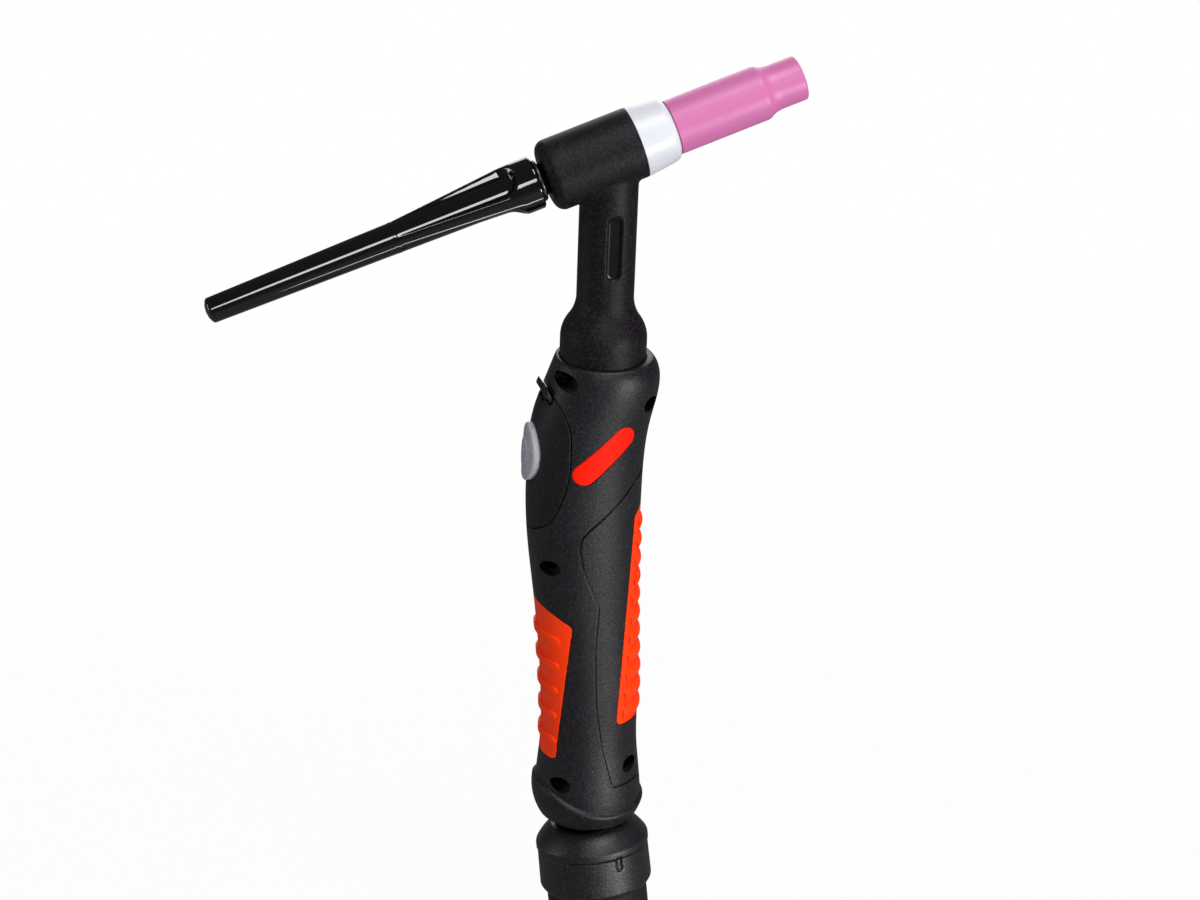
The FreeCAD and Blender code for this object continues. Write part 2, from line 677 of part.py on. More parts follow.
def back_cap():
    """Long hollow cap with three ridges that run into its collar."""
    collar_rear = CAP_COLLAR_FRONT - CAP_COLLAR_LENGTH
    tube_front = CAP_COLLAR_FRONT - CAP_COLLAR_LENGTH / 2
    dome = (CAP_TAIL_RADIUS / 2, CAP_TAIL + CAP_TAIL_DOME * 0.25)
    cap = turned(
        (0, CAP_TAIL), (dome, (CAP_TAIL_RADIUS - CAP_TAIL_CHAMFER, CAP_TAIL + CAP_TAIL_DOME)),
        (CAP_TAIL_RADIUS, CAP_TAIL + CAP_TAIL_DOME + CAP_TAIL_CHAMFER),
        (CAP_TUBE_RADIUS, tube_front), (0, tube_front),
    )
    ridge_rear = collar_rear - CAP_RIDGE_LENGTH
    rise = turned((0, ridge_rear), (CAP_RIDGE_END_RADIUS, ridge_rear),
                  (CAP_COLLAR_RADIUS, collar_rear), (CAP_COLLAR_RADIUS, CAP_COLLAR_FRONT),
                  (0, CAP_COLLAR_FRONT))
    rise = rise.cut(arrange(cap_flute(ridge_rear), CAP_RIDGES))
    rise.rotate(V(0, 0, 0), V(0, 0, 1), CAP_FLUTE_TURN)
    front_edge = [e for e in rise.Edges if abs(e.BoundBox.ZMin - CAP_COLLAR_FRONT) < 0.01]
    cap = cap.fuse(rise.makeChamfer(CAP_COLLAR_CHAMFER, front_edge))
    cap = cap.fuse(rod(CAP_THREAD, tube_front, CAP_INNER_END))
    bore = rod(CAP_BORE, CAP_TAIL + CAP_END_WALL, CAP_INNER_END + 1)
    return on_head(cap.cut(bore).removeSplitter())


def cap_flute(low):
    """Tool for one flute: the sector between two ridges, ending in an arch."""
    half_angle = math.radians(180 / CAP_RIDGES)
    corner = V(CAP_RIDGE_WIDTH / 2 / math.sin(half_angle), 0, low - 1)
    reach = 2 * CAP_COLLAR_RADIUS
    spread = V(reach * math.cos(half_angle), reach * math.sin(half_angle), 0)
    opposite = V(spread.x, -spread.y, 0)
    outline = Part.makePolygon([corner, corner + spread, corner + opposite, corner])
    sector = Part.Face(outline).extrude(V(0, 0, CAP_COLLAR_FRONT - low))
    arch = CAP_COLLAR_FRONT - CAP_FLUTE_END - CAP_FLUTE_ROUND
    open_end = slab(low - 1, arch)
    return sector.common(open_end.fuse(rod_along((1, 0, 0), CAP_FLUTE_ROUND, (0, 0, arch), reach)))


def cap_o_ring():
    """Ring that seals the back cap against the head."""
    wire = O_RING_WIRE
    middle = CAP_COLLAR_FRONT + wire + RUNNING_FIT
    return on_head(Part.makeTorus(CAP_THREAD + wire + RUNNING_FIT, wire, V(0, 0, middle)))


# Handle

def tail_bowl():
    """Bowl at the bottom of the handle, with a rounded top edge that dips at the sides."""
    bowl = Part.makeSphere(BOWL_RADIUS, V(0, 0, BOWL_CENTRE))
    barrel = rod_along((1, 0, 0), BOWL_SADDLE, (-BEYOND, 0, BOWL_TOP - BOWL_SADDLE), 2 * BEYOND)
    barrel.rotate(V(0, 0, BOWL_CENTRE), V(0, 1, 0), BOWL_TILT)
    bowl = bowl.common(barrel)
    rim = [e for e in bowl.Edges if e.BoundBox.YLength > BOWL_RADIUS / 2]
    bowl = bowl.makeFillet(BOWL_ROUND, rim)
    bowl = bowl.common(slab(BOWL_MOUTH, BOWL_CENTRE + BOWL_RADIUS))
    bowl.translate(V(BOWL_SHIFT, 0, 0))
    return bowl


def screw_bosses(radius, near, far):
    """Round bars along Y at every screw's place, between two places on Y."""
    bars = [rod_along((0, 1, 0), radius, (x, near, z), far - near) for x, z in SCREW_PLACES]
    return Part.makeCompound(bars)


def inner_ribs():
    """Saddle that holds the neck tube and clip that holds the connector."""
    inside = form(-WALL / 2)
    saddle = slab(SADDLE_TOP - SADDLE_THICKNESS, SADDLE_TOP).common(inside)
    saddle = saddle.cut(block((-BEYOND, -BEYOND, 0), (BOARD_FRONT + MODULE_ROOM, BEYOND, BEYOND)))
    clip = block((-BEYOND, -BEYOND, CLIP_TOP - CLIP_THICKNESS), (lead_x() + 2, BEYOND, CLIP_TOP))
    return [saddle, clip.common(inside)]


def lead_x():
    """Where the leads and their connector lie on X, at the bottom of the route."""
    return LEAD_ROUTE[-1][0]


def connector_box(grow):
    """The connector's outline, grown on every side."""
    deep = CONNECTOR_DEPTH / 2 + grow
    wide = CONNECTOR_WIDTH / 2 + grow
    low = CONNECTOR_TOP - CONNECTOR_LENGTH - grow
    return block((lead_x() - deep, -wide, low), (lead_x() + deep, wide, CONNECTOR_TOP + grow))


def ball_space():
    """All that the ball, its seat ring and the cable need inside the handle."""
    socket = Part.makeSphere(BALL_RADIUS + BALL_FIT, V(0, 0, BALL_HEIGHT))
    pocket = rod(SEAT_RING_RADIUS + RUNNING_FIT, SEAT_RING_BOTTOM - SEATED, SEAT_RING_TOP + SEATED)
    opening = rod(CABLE_OPENING, SEAT_RING_TOP, TAIL_BLOCK + 1)
    return [on_tail(space) for space in (socket, pocket, opening)]


def plug_space():
    """Space for the bell, the plug below it and the neck tube."""
    return [
        rod(BELL_RADIUS + MOVING_GAP, BELL_BOTTOM - SEATED, HANDLE_TOP + 1),
        rod(PLUG_NECK_RADIUS + SEATED, PLUG_NECK_BOTTOM, HANDLE_TOP),
        rod(PLUG_FLANGE_RADIUS + SEATED, PLUG_BOTTOM - SEATED, PLUG_NECK_BOTTOM + SEATED),
        rod(TUBE_RADIUS + SEATED, SADDLE_TOP - SADDLE_THICKNESS - 1, HANDLE_TOP),
    ]


def pad_pocket(face):
    """Pocket for a soft pad, a little larger than the pad."""
    return layer(through_width(wider(face, PAD_FIT)), RIB_PROUD + 1, -PAD_DEPTH - SEATED)


def panel_groove():
    """Shallow groove round the side panel."""
    panel = rounded_face(GROOVE_PATH, GROOVE_ROUND)
    band = through_width(panel).cut(through_width(wider(panel, -GROOVE_WIDTH)))
    return layer(band, RIB_PROUD, -GROOVE_DEPTH)


def label_pocket():
    """Pocket for the label plate."""
    face = capsule_face(LABEL_LOW, LABEL_HIGH, LABEL_RADIUS + PAD_FIT)
    return layer(through_width(face), RIB_PROUD, -LABEL_DEPTH - SEATED)


def module_ledge():
    """Inner lip that the trigger module rests on."""
    face = module_face()
    band = through_width(wider(face, LEDGE_WIDTH)).cut(through_width(wider(face, -LEDGE_WIDTH)))
    band = band.common(slab(MODULE_BOTTOM[1], TOP_BLOCK + 1))
    return layer(band, -WALL - SEATED, -WALL - LEDGE_THICKNESS)


def handle_half():
    """The right shell before its screw holes are made; the left one mirrors it."""
    body = form().fuse(tail_bowl())
    rim = [e for e in body.Edges if abs(e.BoundBox.ZMin - HANDLE_TOP) < 0.01]
    body = body.makeFillet(MOUTH_ROUND, rim).common(half(-1))
    cavity = form(-WALL).common(slab(TAIL_BLOCK, TOP_BLOCK))
    body = body.cut(cavity)
    bosses = screw_bosses(SCREW_BOSS, -BEYOND, -PARTING_GAP / 2).common(form(-WALL / 2))
    body = body.fuse([bosses] + [rib.common(half(-1)) for rib in inner_ribs()])
    body = body.cut(through_width(wider(module_face(), SEAM)))
    body = body.fuse(module_ledge().common(half(-1)))
    spaces = ball_space() + plug_space() + [connector_box(SEATED), module_room()]
    spaces += [pad_pocket(pad_face(FRONT_PAD)), pad_pocket(pad_face(REAR_PAD))]
    spaces += [panel_groove(), label_pocket()]
    return body.cut(spaces)


def module_room():
    """Room behind the module for its board, screws and leads."""
    wide = BOARD_WIDTH / 2 + MODULE_ROOM_SIDE
    low = (-BEYOND, -wide, BUTTON_HEIGHT - BOARD_BELOW - 1)
    return block(low, (BOARD_FRONT + MODULE_ROOM, wide, BUTTON_HEIGHT + BOARD_ABOVE + 1))


def handle_shells():
    """The right shell, which takes the screw heads, and the left, which takes their ends."""
    body = handle_half()
    right = body.cut(screw_bosses(SCREW_RECESS, -BEYOND, -SCREW_SEAT))
    right = right.cut(screw_bosses(SCREW_SHANK + 2 * RUNNING_FIT, -SCREW_SEAT - 1, 1))
    left = mirrored(body).cut(screw_bosses(SCREW_SHANK + SEATED, -1, SCREW_REACH + SEATED))
    return largest(right), largest(left)


def largest(shape):
    """The biggest solid of a shape."""
    return max(shape.Solids, key=lambda solid: solid.Volume)


def handle_screws():
    """The screws that hold the two shells together."""
    screws = []
    top = -SCREW_SEAT - SCREW_HEAD_HEIGHT
    for x, z in SCREW_PLACES:
        head = rod_along((0, 1, 0), SCREW_HEAD, (x, top, z), SCREW_HEAD_HEIGHT)
        shank = rod_along((0, 1, 0), SCREW_SHANK, (x, -SCREW_SEAT, z), SCREW_SEAT + SCREW_REACH)
        wide = CROSS_WIDTH / 2
        long = CROSS_LENGTH / 2
        depth = top + CROSS_DEPTH
        upright = block((x - wide, top - 1, z - long), (x + wide, depth, z + long))
        level = block((x - long, top - 1, z - wide), (x + long, depth, z + wide))
        screws.append(head.fuse(shank).cut(upright.fuse(level)))
    return Part.makeCompound(screws)


def label_plate():
    """Blank label plate on the right, a little below the surface."""
    face = capsule_face(LABEL_LOW, LABEL_HIGH, LABEL_RADIUS)
    return layer(through_width(face).common(half(-1)), -LABEL_SUNK, -LABEL_DEPTH)


def pad_face(outline):
    """Side view of a soft pad."""
    return rounded_face(outline, PAD_ROUND)


def front_ribs():
    """Slanted bars with a round end, which run forward over the front of the grip."""
    slope = math.radians(FRONT_RIB_SLOPE)
    bars = []
    for index in range(FRONT_RIBS):
        height = FRONT_RIB_TOP - FRONT_RIB_PITCH * index
        far = FRONT_RIB_END - FRONT_RIB_RUN
        away = (far, height - FRONT_RIB_RUN * math.tan(slope))
        bars.append(through_width(capsule_face((FRONT_RIB_END, height), away, FRONT_RIB_WIDTH / 2)))
    return Part.makeCompound(bars)


def front_pad():
    """Right soft pad on the trigger side; the left one mirrors it."""
    face = pad_face(FRONT_PAD)
    outline = through_width(face).common(half(-1))
    pad = layer(outline, 0, -PAD_DEPTH)
    inner = outline.common(through_width(wider(face, -RIB_MARGIN)))
    ribs = layer(front_ribs().common(inner), FRONT_RIB_PROUD, -PAD_DEPTH / 2)
    return largest(pad.fuse(ribs).removeSplitter())


def rear_pad():
    """Right soft pad on the nozzle side, with rings of ribs; the left one mirrors it."""
    face = pad_face(REAR_PAD)
    outline = through_width(face).common(half(-1))
    ribbed = face.copy()
    ribbed.translate(V(REAR_RIB_MARGIN, 0, 0))
    high = REAR_RIB_TOP + REAR_RIB_PITCH / 2
    low = high - REAR_RIBS * REAR_RIB_PITCH
    region = outline.common(through_width(ribbed)).common(slab(low, high))
    pad = layer(outline.cut(region), 0, -PAD_DEPTH)
    rings = [rib_ring(index).common(region) for index in range(REAR_RIBS)]
    rings = rings[0].fuse(rings[1:]).cut(form(-PAD_DEPTH))
    return largest(pad.fuse(rings).removeSplitter())


def rib_ring(index):
    """Ring round the form with a round crest, narrowest where it meets the next one."""
    crest = REAR_RIB_TOP - index * REAR_RIB_PITCH
    reach = REAR_RIB_PITCH / 2
    low = section(crest - reach, -RIB_GROOVE)
    high = section(crest + reach, -RIB_GROOVE)
    return Part.makeLoft([low, section(crest, RIB_PROUD), high], True)


# Trigger module

def button_space(grow):
    """Oval hole that the button slides in."""
    return oval_bar(BUTTON_LONG + grow, BUTTON_SHORT + grow, BUTTON_HEIGHT, -BEYOND, BOARD_FRONT)


def trigger_module():
    """Cover that carries the button and the switch board."""
    shape = through_width(module_face())
    cover = layer(shape, 0, -MODULE_WALL)
    posts = []
    for up in (-1, 1):
        height = BUTTON_HEIGHT + up * BOARD_SCREW_SPACING / 2
        post = rod_along((1, 0, 0), BOARD_POST, (-BEYOND, 0, height), BEYOND + BOARD_FRONT)
        post = post.common(form(-MODULE_WALL / 2))
        hole = rod_along((-1, 0, 0), BOARD_SCREW + SEATED, (BOARD_FRONT, 0, height),
                         BOARD_SCREW_REACH + SEATED)
        posts.append(post.cut(hole))
    cover = cover.fuse(posts).cut(button_space(MOVING_GAP))
    return largest(cover.cut(latch_room()))


def trigger_button():
    """Soft button with a retaining lip inside, a stem and a raised ring and bar."""
    crown = form(BUTTON_PROUD).common(button_space(0))
    rim = [e for e in crown.Edges if e.BoundBox.XMax < -GRIP_MIDDLE[1]]
    crown = crown.makeFillet(BUTTON_CROWN_ROUND, rim)
    inner = -MODULE_WALL - MOVING_GAP
    crown = crown.cut(form(inner - BUTTON_LIP_THICKNESS))
    lip = layer(button_space(BUTTON_LIP), inner, inner - BUTTON_LIP_THICKNESS)
    stem_end = PLUNGER_TIP - RUNNING_FIT
    stem = rod_along((-1, 0, 0), BUTTON_STEM, (stem_end, 0, BUTTON_HEIGHT),
                     BUTTON_STEM_LENGTH)
    button = crown.fuse([lip, stem, button_mark()])
    return largest(button.removeSplitter())


def button_mark():
    """Raised oval ring, open at its top, with a short upright bar in the opening."""
    inner_long = MARK_LONG - MARK_LINE
    inner_short = MARK_SHORT - MARK_LINE
    ring = oval_bar(MARK_LONG, MARK_SHORT, BUTTON_HEIGHT, -BEYOND, BOARD_FRONT)
    ring = ring.cut(oval_bar(inner_long, inner_short, BUTTON_HEIGHT, -BEYOND, 0))
    wide = MARK_LINE * 1.5
    ring = ring.cut(block((-BEYOND, -wide, BUTTON_HEIGHT), (0, wide, BEYOND + BUTTON_HEIGHT)))
    bar_top = BUTTON_HEIGHT + MARK_LONG
    bar = block((-BEYOND, -MARK_LINE / 2, BUTTON_HEIGHT), (BOARD_FRONT, MARK_LINE / 2, bar_top))
    return layer(ring.fuse(bar), BUTTON_PROUD + MARK_PROUD, BUTTON_PROUD / 2)


def latch_shapes(grow):
    """Prisms of the latch's lip, which follows the seam, and of its tongue below."""
    face = module_face()
    wide = LATCH_WIDTH / 2 + grow
    lip = through_width(wider(face, grow - SEAM))
    lip = lip.cut(through_width(wider(face, -SEAM - LATCH_THICKNESS - grow)))
    lip = lip.common(block((-BEYOND, -wide, LATCH_ROOT), (0, wide, BEYOND + LATCH_ROOT)))
    narrow = LATCH_TONGUE_WIDTH / 2 + grow
    tongue = block((-BEYOND, -narrow, LATCH_ROOT), (0, narrow, BEYOND + LATCH_ROOT))
    tongue = tongue.common(through_width(wider(face, -SEAM - LATCH_THICKNESS / 2)))
    return lip, tongue


def latch_room():
    """Room in the module for the latch and its flexing."""
    lip, tongue = latch_shapes(MOVING_GAP)
    return layer(lip.fuse(tongue), RIB_PROUD, -MODULE_WALL - 1)


def module_latch():
    """Spring latch with a lip for the thumb."""
    lip, tongue = latch_shapes(0)
    lip = layer(lip, LATCH_PROUD, -MODULE_WALL)
    tongue = tongue.common(slab(LATCH_ROOT + 2 * RUNNING_FIT, 2 * BEYOND))
    tongue = layer(tongue, -LATCH_SUNK, -MODULE_WALL)
    return largest(lip.fuse(tongue).removeSplitter())


def board_holes(radius, near, far):
    """Round bars along X at the board's two screws."""
    bars = []
    for up in (-1, 1):
        height = BUTTON_HEIGHT + up * BOARD_SCREW_SPACING / 2
        bars.append(rod_along((1, 0, 0), radius, (near, 0, height), far - near))
    return Part.makeCompound(bars)


def switch_board():
    """Board behind the button that carries the switch."""
    front = BOARD_FRONT + SEATED
    back = front + BOARD_THICKNESS
    low = (front, -BOARD_WIDTH / 2, BUTTON_HEIGHT - BOARD_BELOW)
    high = (back, BOARD_WIDTH / 2, BUTTON_HEIGHT + BOARD_ABOVE)
    return block(low, high).cut(board_holes(BOARD_SCREW + 2 * SEATED, front - 1, back + 1))


def board_screws():
    """The two screws that hold the board on the module's posts."""
    back = BOARD_FRONT + BOARD_THICKNESS + 2 * SEATED
    heads = board_holes(BOARD_SCREW_HEAD, back, back + BOARD_SCREW_HEAD_HEIGHT)
    shanks = board_holes(BOARD_SCREW, BOARD_FRONT - BOARD_SCREW_REACH, back)
    pairs = zip(heads.Solids, shanks.Solids)
    return Part.makeCompound([head.fuse(shank).removeSplitter() for head, shank in pairs])


def switch_body():
    """Housing of the snap switch, with the well that its plunger moves in."""
    low = (SWITCH_FRONT, -SWITCH_WIDTH / 2, BUTTON_HEIGHT - SWITCH_LENGTH / 2)
    high = (BOARD_FRONT, SWITCH_WIDTH / 2, BUTTON_HEIGHT + SWITCH_LENGTH / 2)
    well = rod_along((1, 0, 0), PLUNGER_RADIUS + RUNNING_FIT, (PLUNGER_TIP, 0, BUTTON_HEIGHT),
                     PLUNGER_LENGTH + BUTTON_STROKE + MOVING_GAP)
    return block(low, high).cut(well)


def switch_plunger():
    """Pin of the snap switch that the button's stem pushes."""
    return rod_along((1, 0, 0), PLUNGER_RADIUS, (PLUNGER_TIP, 0, BUTTON_HEIGHT), PLUNGER_LENGTH)


def return_spring():
    """Coil spring round the button's stem."""
    lip_back = -GRIP_TRIGGER[1] + MODULE_WALL + MOVING_GAP + BUTTON_LIP_THICKNESS
    front = lip_back + MOVING_GAP + 2 * SPRING_WIRE
    length = SWITCH_FRONT - front - 2 * SPRING_WIRE
    coil = Part.makeLongHelix(length / SPRING_TURNS, length, SPRING_RADIUS)
    wire = Part.Wire(Part.makeCircle(SPRING_WIRE, V(SPRING_RADIUS, 0, 0), V(0, 1, 0)))
    spring = Part.Wire(coil.Edges).makePipeShell([wire], True, True)
    spring.rotate(V(0, 0, 0), V(0, 1, 0), 90)
    spring.translate(V(front, 0, BUTTON_HEIGHT))
    return spring


def terminal_block():
    """Block low on the board that the leads are clamped in."""
    back = BOARD_FRONT + BOARD_THICKNESS + 2 * SEATED
    low = BUTTON_HEIGHT - BOARD_BELOW
    side = TERMINAL_WIDTH / 2
    return block((back, -side, low), (back + TERMINAL_DEPTH, side, low + TERMINAL_LENGTH))


def rounded_path(points, bend):
    """Straight runs joined by tangent arcs, as one wire."""
    edges = []
    here = points[0]
    for before, corner, after in zip(points, points[1:], points[2:]):
        back = (before - corner).normalize()
        ahead = (after - corner).normalize()
        turn = math.pi - back.getAngle(ahead)
        setback = bend * math.tan(turn / 2)
        start = corner + back * setback
        end = corner + ahead * setback
        inward = (back + ahead).normalize()
        rise = bend / math.cos(turn / 2) - bend
        edges.append(Part.makeLine(here, start))
        edges.append(Part.Arc(start, corner + inward * rise, end).toShape())
        here = end
    edges.append(Part.makeLine(here, points[-1]))
    return Part.Wire(edges)


def control_leads():
    """Two insulated leads from the board down to their connector."""
    start_x = BOARD_FRONT + BOARD_THICKNESS + 2 * SEATED + TERMINAL_DEPTH / 2
    start = (start_x, BUTTON_HEIGHT - BOARD_BELOW - SEATED)
    end = (lead_x(), CONNECTOR_TOP + SEATED)
    leads = []
    for side in (-1, 1):
        points = [V(x, side * LEAD_SPACING / 2, z) for x, z in (start,) + LEAD_ROUTE + (end,)]
        path = rounded_path(points, LEAD_BEND)
        circle = Part.Wire(Part.makeCircle(LEAD_RADIUS, points[0], points[1] - points[0]))
        leads.append(path.makePipeShell([circle], True, False))
    return Part.makeCompound(leads)


def lead_connector():
    """Plug housing at the leads' lower end."""
    return connector_box(0)


# Ball joint and knuckle

def ball_seat_ring():
    """Low-friction ring that the ball turns in."""
    ring = rod(SEAT_RING_RADIUS, SEAT_RING_BOTTOM, SEAT_RING_TOP)
    return on_tail(ring.cut(Part.makeSphere(BALL_RADIUS + BALL_FIT, V(0, 0, BALL_HEIGHT))))


def knuckle_ball():
    """Hollow ball with a threaded stem."""
    ball = Part.makeSphere(BALL_RADIUS).common(slab(-DOME_TOP - 3, BALL_TOP))
    ball = ball.fuse(rod(STEM_RADIUS, -STEM_END, 0))
    return on_knuckle(ball.cut(rod(BALL_BORE, -STEM_END - 1, BALL_TOP + 1)))


def knuckle_dome():
    """Upper cover of the knuckle, seated under the ball."""
    inner = DOME_SHOULDER_RADIUS - DOME_WALL
    stem = STEM_RADIUS + SEATED
    dome = turned(
        (stem, -DOME_TOP), (DOME_TOP_RADIUS, -DOME_TOP),
        ((DOME_BULGE[0], -DOME_BULGE[1]), (DOME_SHOULDER_RADIUS, -DOME_SHOULDER)),
        (DOME_SHOULDER_RADIUS, -DOME_END), (inner, -DOME_END), (inner, -DOME_WEB - 1),
        (inner - 1, -DOME_WEB), (stem, -DOME_WEB),
    )
    dome = dome.cut(Part.makeSphere(BALL_RADIUS + SEATED))
    return on_knuckle(dome.cut(ring_notches()))


def ring_notches():
    """Grip notches across the step between the dome and the ring."""
    outer = DOME_SHOULDER_RADIUS - NOTCH_DEPTH
    wide = NOTCH_WIDTH / 2
    top = -DOME_END + NOTCH_RISE
    notches = arrange(block((outer, -wide, top - NOTCH_LENGTH), (BEYOND, wide, top)), NOTCHES)
    notches.rotate(V(0, 0, 0), V(0, 0, 1), NOTCH_TURN - 90)
    return notches


def lock_nut():
    """Ring nut that holds the dome on the ball's stem."""
    low = -DOME_WEB - LOCK_NUT_LENGTH
    nut = tube(LOCK_NUT_RADIUS, STEM_RADIUS + SEATED, low, -DOME_WEB - SEATED)
    wide = NUT_SLOT_WIDTH / 2
    slot = block((STEM_RADIUS + 1, -wide, low - 1), (BEYOND, wide, low + NUT_SLOT_DEPTH))
    return on_knuckle(nut.cut(arrange(slot, NUT_SLOTS)))


def knuckle_ring():
    """Lower ring of the knuckle, plugged into the dome, with notches at its top."""
    inner = DOME_SHOULDER_RADIUS - DOME_WALL - RUNNING_FIT
    outer = DOME_SHOULDER_RADIUS - RING_STEP
    bore = SLEEVE_RADIUS - RING_WALL
    seat = SLEEVE_RADIUS + SEATED
    low = -DOME_END - SEATED
    ring = turned(
        (bore, low + RING_SPIGOT), (inner, low + RING_SPIGOT), (inner, low), (outer, low),
        (RING_FOOT_RADIUS, -RING_CHAMFER), (RING_END_RADIUS, -RING_END),
        (seat, -RING_END), (seat, -SLEEVE_TOP), (bore, -SLEEVE_TOP),
    )
    return on_knuckle(ring.cut(ring_notches()))


def rear_sleeve():
    """Sleeve that takes the cable's cover, open at its rear."""
    top = -SLEEVE_TOP - SEATED
    pocket_end = -SLEEVE_END + SLEEVE_INLET
    sleeve = turned(
        (SLEEVE_POCKET, top), (SLEEVE_RADIUS, top), (SLEEVE_RADIUS, -SLEEVE_END),
        (SLEEVE_BORE, -SLEEVE_END), (SLEEVE_BORE, pocket_end), (SLEEVE_POCKET, pocket_end + 2),
    )
    end = [e for e in sleeve.Edges
           if abs(e.BoundBox.ZMax + SLEEVE_END) < 0.01 and e.BoundBox.XMax > SLEEVE_BORE + 1]
    return on_knuckle(sleeve.makeFillet(SLEEVE_ROUND, end))


def write(name, shape):
    """Save one piece under its name."""
    if not shape.isValid():
        raise ValueError(name + " is not a valid solid")
    shape.exportStep("parts/" + name + ".step")
    print(name, len(shape.Solids), "solid(s)", round(shape.Volume, 1), "mm3")


def main():
    """Make every piece and save it."""
    os.makedirs("parts", exist_ok=True)
    right, left = handle_shells()
    label = label_plate()
    front = front_pad()
    rear = rear_pad()
    pieces = {
        "head_core": head_core(),
        "neck_tube": neck_tube(),
        "power_stud": power_stud(),
        "head_cover": head_cover(),
        "heat_shield": heat_shield(),
        "nozzle": nozzle(),
        "collet_body": collet_body(),
        "collet": collet(),
        "electrode": electrode(),
        "back_cap": back_cap(),
        "cap_o_ring": cap_o_ring(),
        "handle_right": right,
        "handle_left": left,
        "handle_screws": handle_screws(),
        "label_plate_right": label,
        "label_plate_left": mirrored(label),
        "front_grip_right": front,
        "front_grip_left": mirrored(front),
        "rear_grip_right": rear,
        "rear_grip_left": mirrored(rear),
        "trigger_module": trigger_module(),
        "module_latch": module_latch(),
        "trigger_button": trigger_button(),
        "return_spring": return_spring(),
        "switch_board": switch_board(),
        "board_screws": board_screws(),
        "switch_body": switch_body(),
        "switch_plunger": switch_plunger(),
        "terminal_block": terminal_block(),
        "control_leads": control_leads(),
        "lead_connector": lead_connector(),
        "ball_seat_ring": ball_seat_ring(),
        "knuckle_ball": knuckle_ball(),
        "knuckle_dome": knuckle_dome(),
        "lock_nut": lock_nut(),
        "knuckle_ring": knuckle_ring(),
        "rear_sleeve": rear_sleeve(),
    }
    for name, shape in pieces.items():
        write(name, shape)


main()
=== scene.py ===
"""Looks of a gas tungsten arc welding torch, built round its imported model.

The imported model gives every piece's place and size. This script dresses those pieces,
models the finer ones anew and lights the torch as in a plain product picture.
Lengths are in metres, +Z runs up the handle and +X points to the nozzle's side.
"""

import json
import logging
import math
from dataclasses import dataclass, field
from enum import Enum

import bmesh
import bpy
from mathutils import Matrix, Vector

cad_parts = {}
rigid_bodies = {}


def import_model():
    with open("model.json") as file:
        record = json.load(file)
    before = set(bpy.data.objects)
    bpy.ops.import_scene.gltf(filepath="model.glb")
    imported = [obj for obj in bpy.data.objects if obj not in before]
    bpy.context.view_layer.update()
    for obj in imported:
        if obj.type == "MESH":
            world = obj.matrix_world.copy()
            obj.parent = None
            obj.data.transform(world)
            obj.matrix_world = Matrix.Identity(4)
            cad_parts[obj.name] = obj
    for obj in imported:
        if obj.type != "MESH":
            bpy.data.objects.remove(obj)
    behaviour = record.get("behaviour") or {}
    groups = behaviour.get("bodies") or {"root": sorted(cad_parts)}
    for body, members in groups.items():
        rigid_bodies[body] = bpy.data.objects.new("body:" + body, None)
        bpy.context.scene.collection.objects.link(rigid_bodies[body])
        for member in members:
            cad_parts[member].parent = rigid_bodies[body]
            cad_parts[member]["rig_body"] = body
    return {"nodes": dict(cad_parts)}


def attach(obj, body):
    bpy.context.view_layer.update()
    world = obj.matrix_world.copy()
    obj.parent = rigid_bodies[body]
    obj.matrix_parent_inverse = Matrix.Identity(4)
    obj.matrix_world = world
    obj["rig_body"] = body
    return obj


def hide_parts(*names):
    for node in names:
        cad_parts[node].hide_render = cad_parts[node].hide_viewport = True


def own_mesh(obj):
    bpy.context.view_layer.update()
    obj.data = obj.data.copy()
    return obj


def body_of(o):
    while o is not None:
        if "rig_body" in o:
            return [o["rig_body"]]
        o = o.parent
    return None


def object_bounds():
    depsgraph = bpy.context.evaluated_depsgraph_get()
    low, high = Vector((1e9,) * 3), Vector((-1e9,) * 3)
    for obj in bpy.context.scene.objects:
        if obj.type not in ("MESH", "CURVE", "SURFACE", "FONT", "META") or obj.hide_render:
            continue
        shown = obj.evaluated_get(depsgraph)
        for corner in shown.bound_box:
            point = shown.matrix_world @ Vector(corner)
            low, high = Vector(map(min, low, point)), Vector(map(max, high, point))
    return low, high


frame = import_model()
CAD_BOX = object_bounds()

LOG = logging.getLogger("torch")
MM = 0.001
WELD = 0.001 * MM
LARGEST_WEIGHT = 100
WHITE = (1.0, 1.0, 1.0, 1.0)

Colour = tuple[float, float, float]
Span = tuple[float, float]
Outline = list[tuple[float, float]]


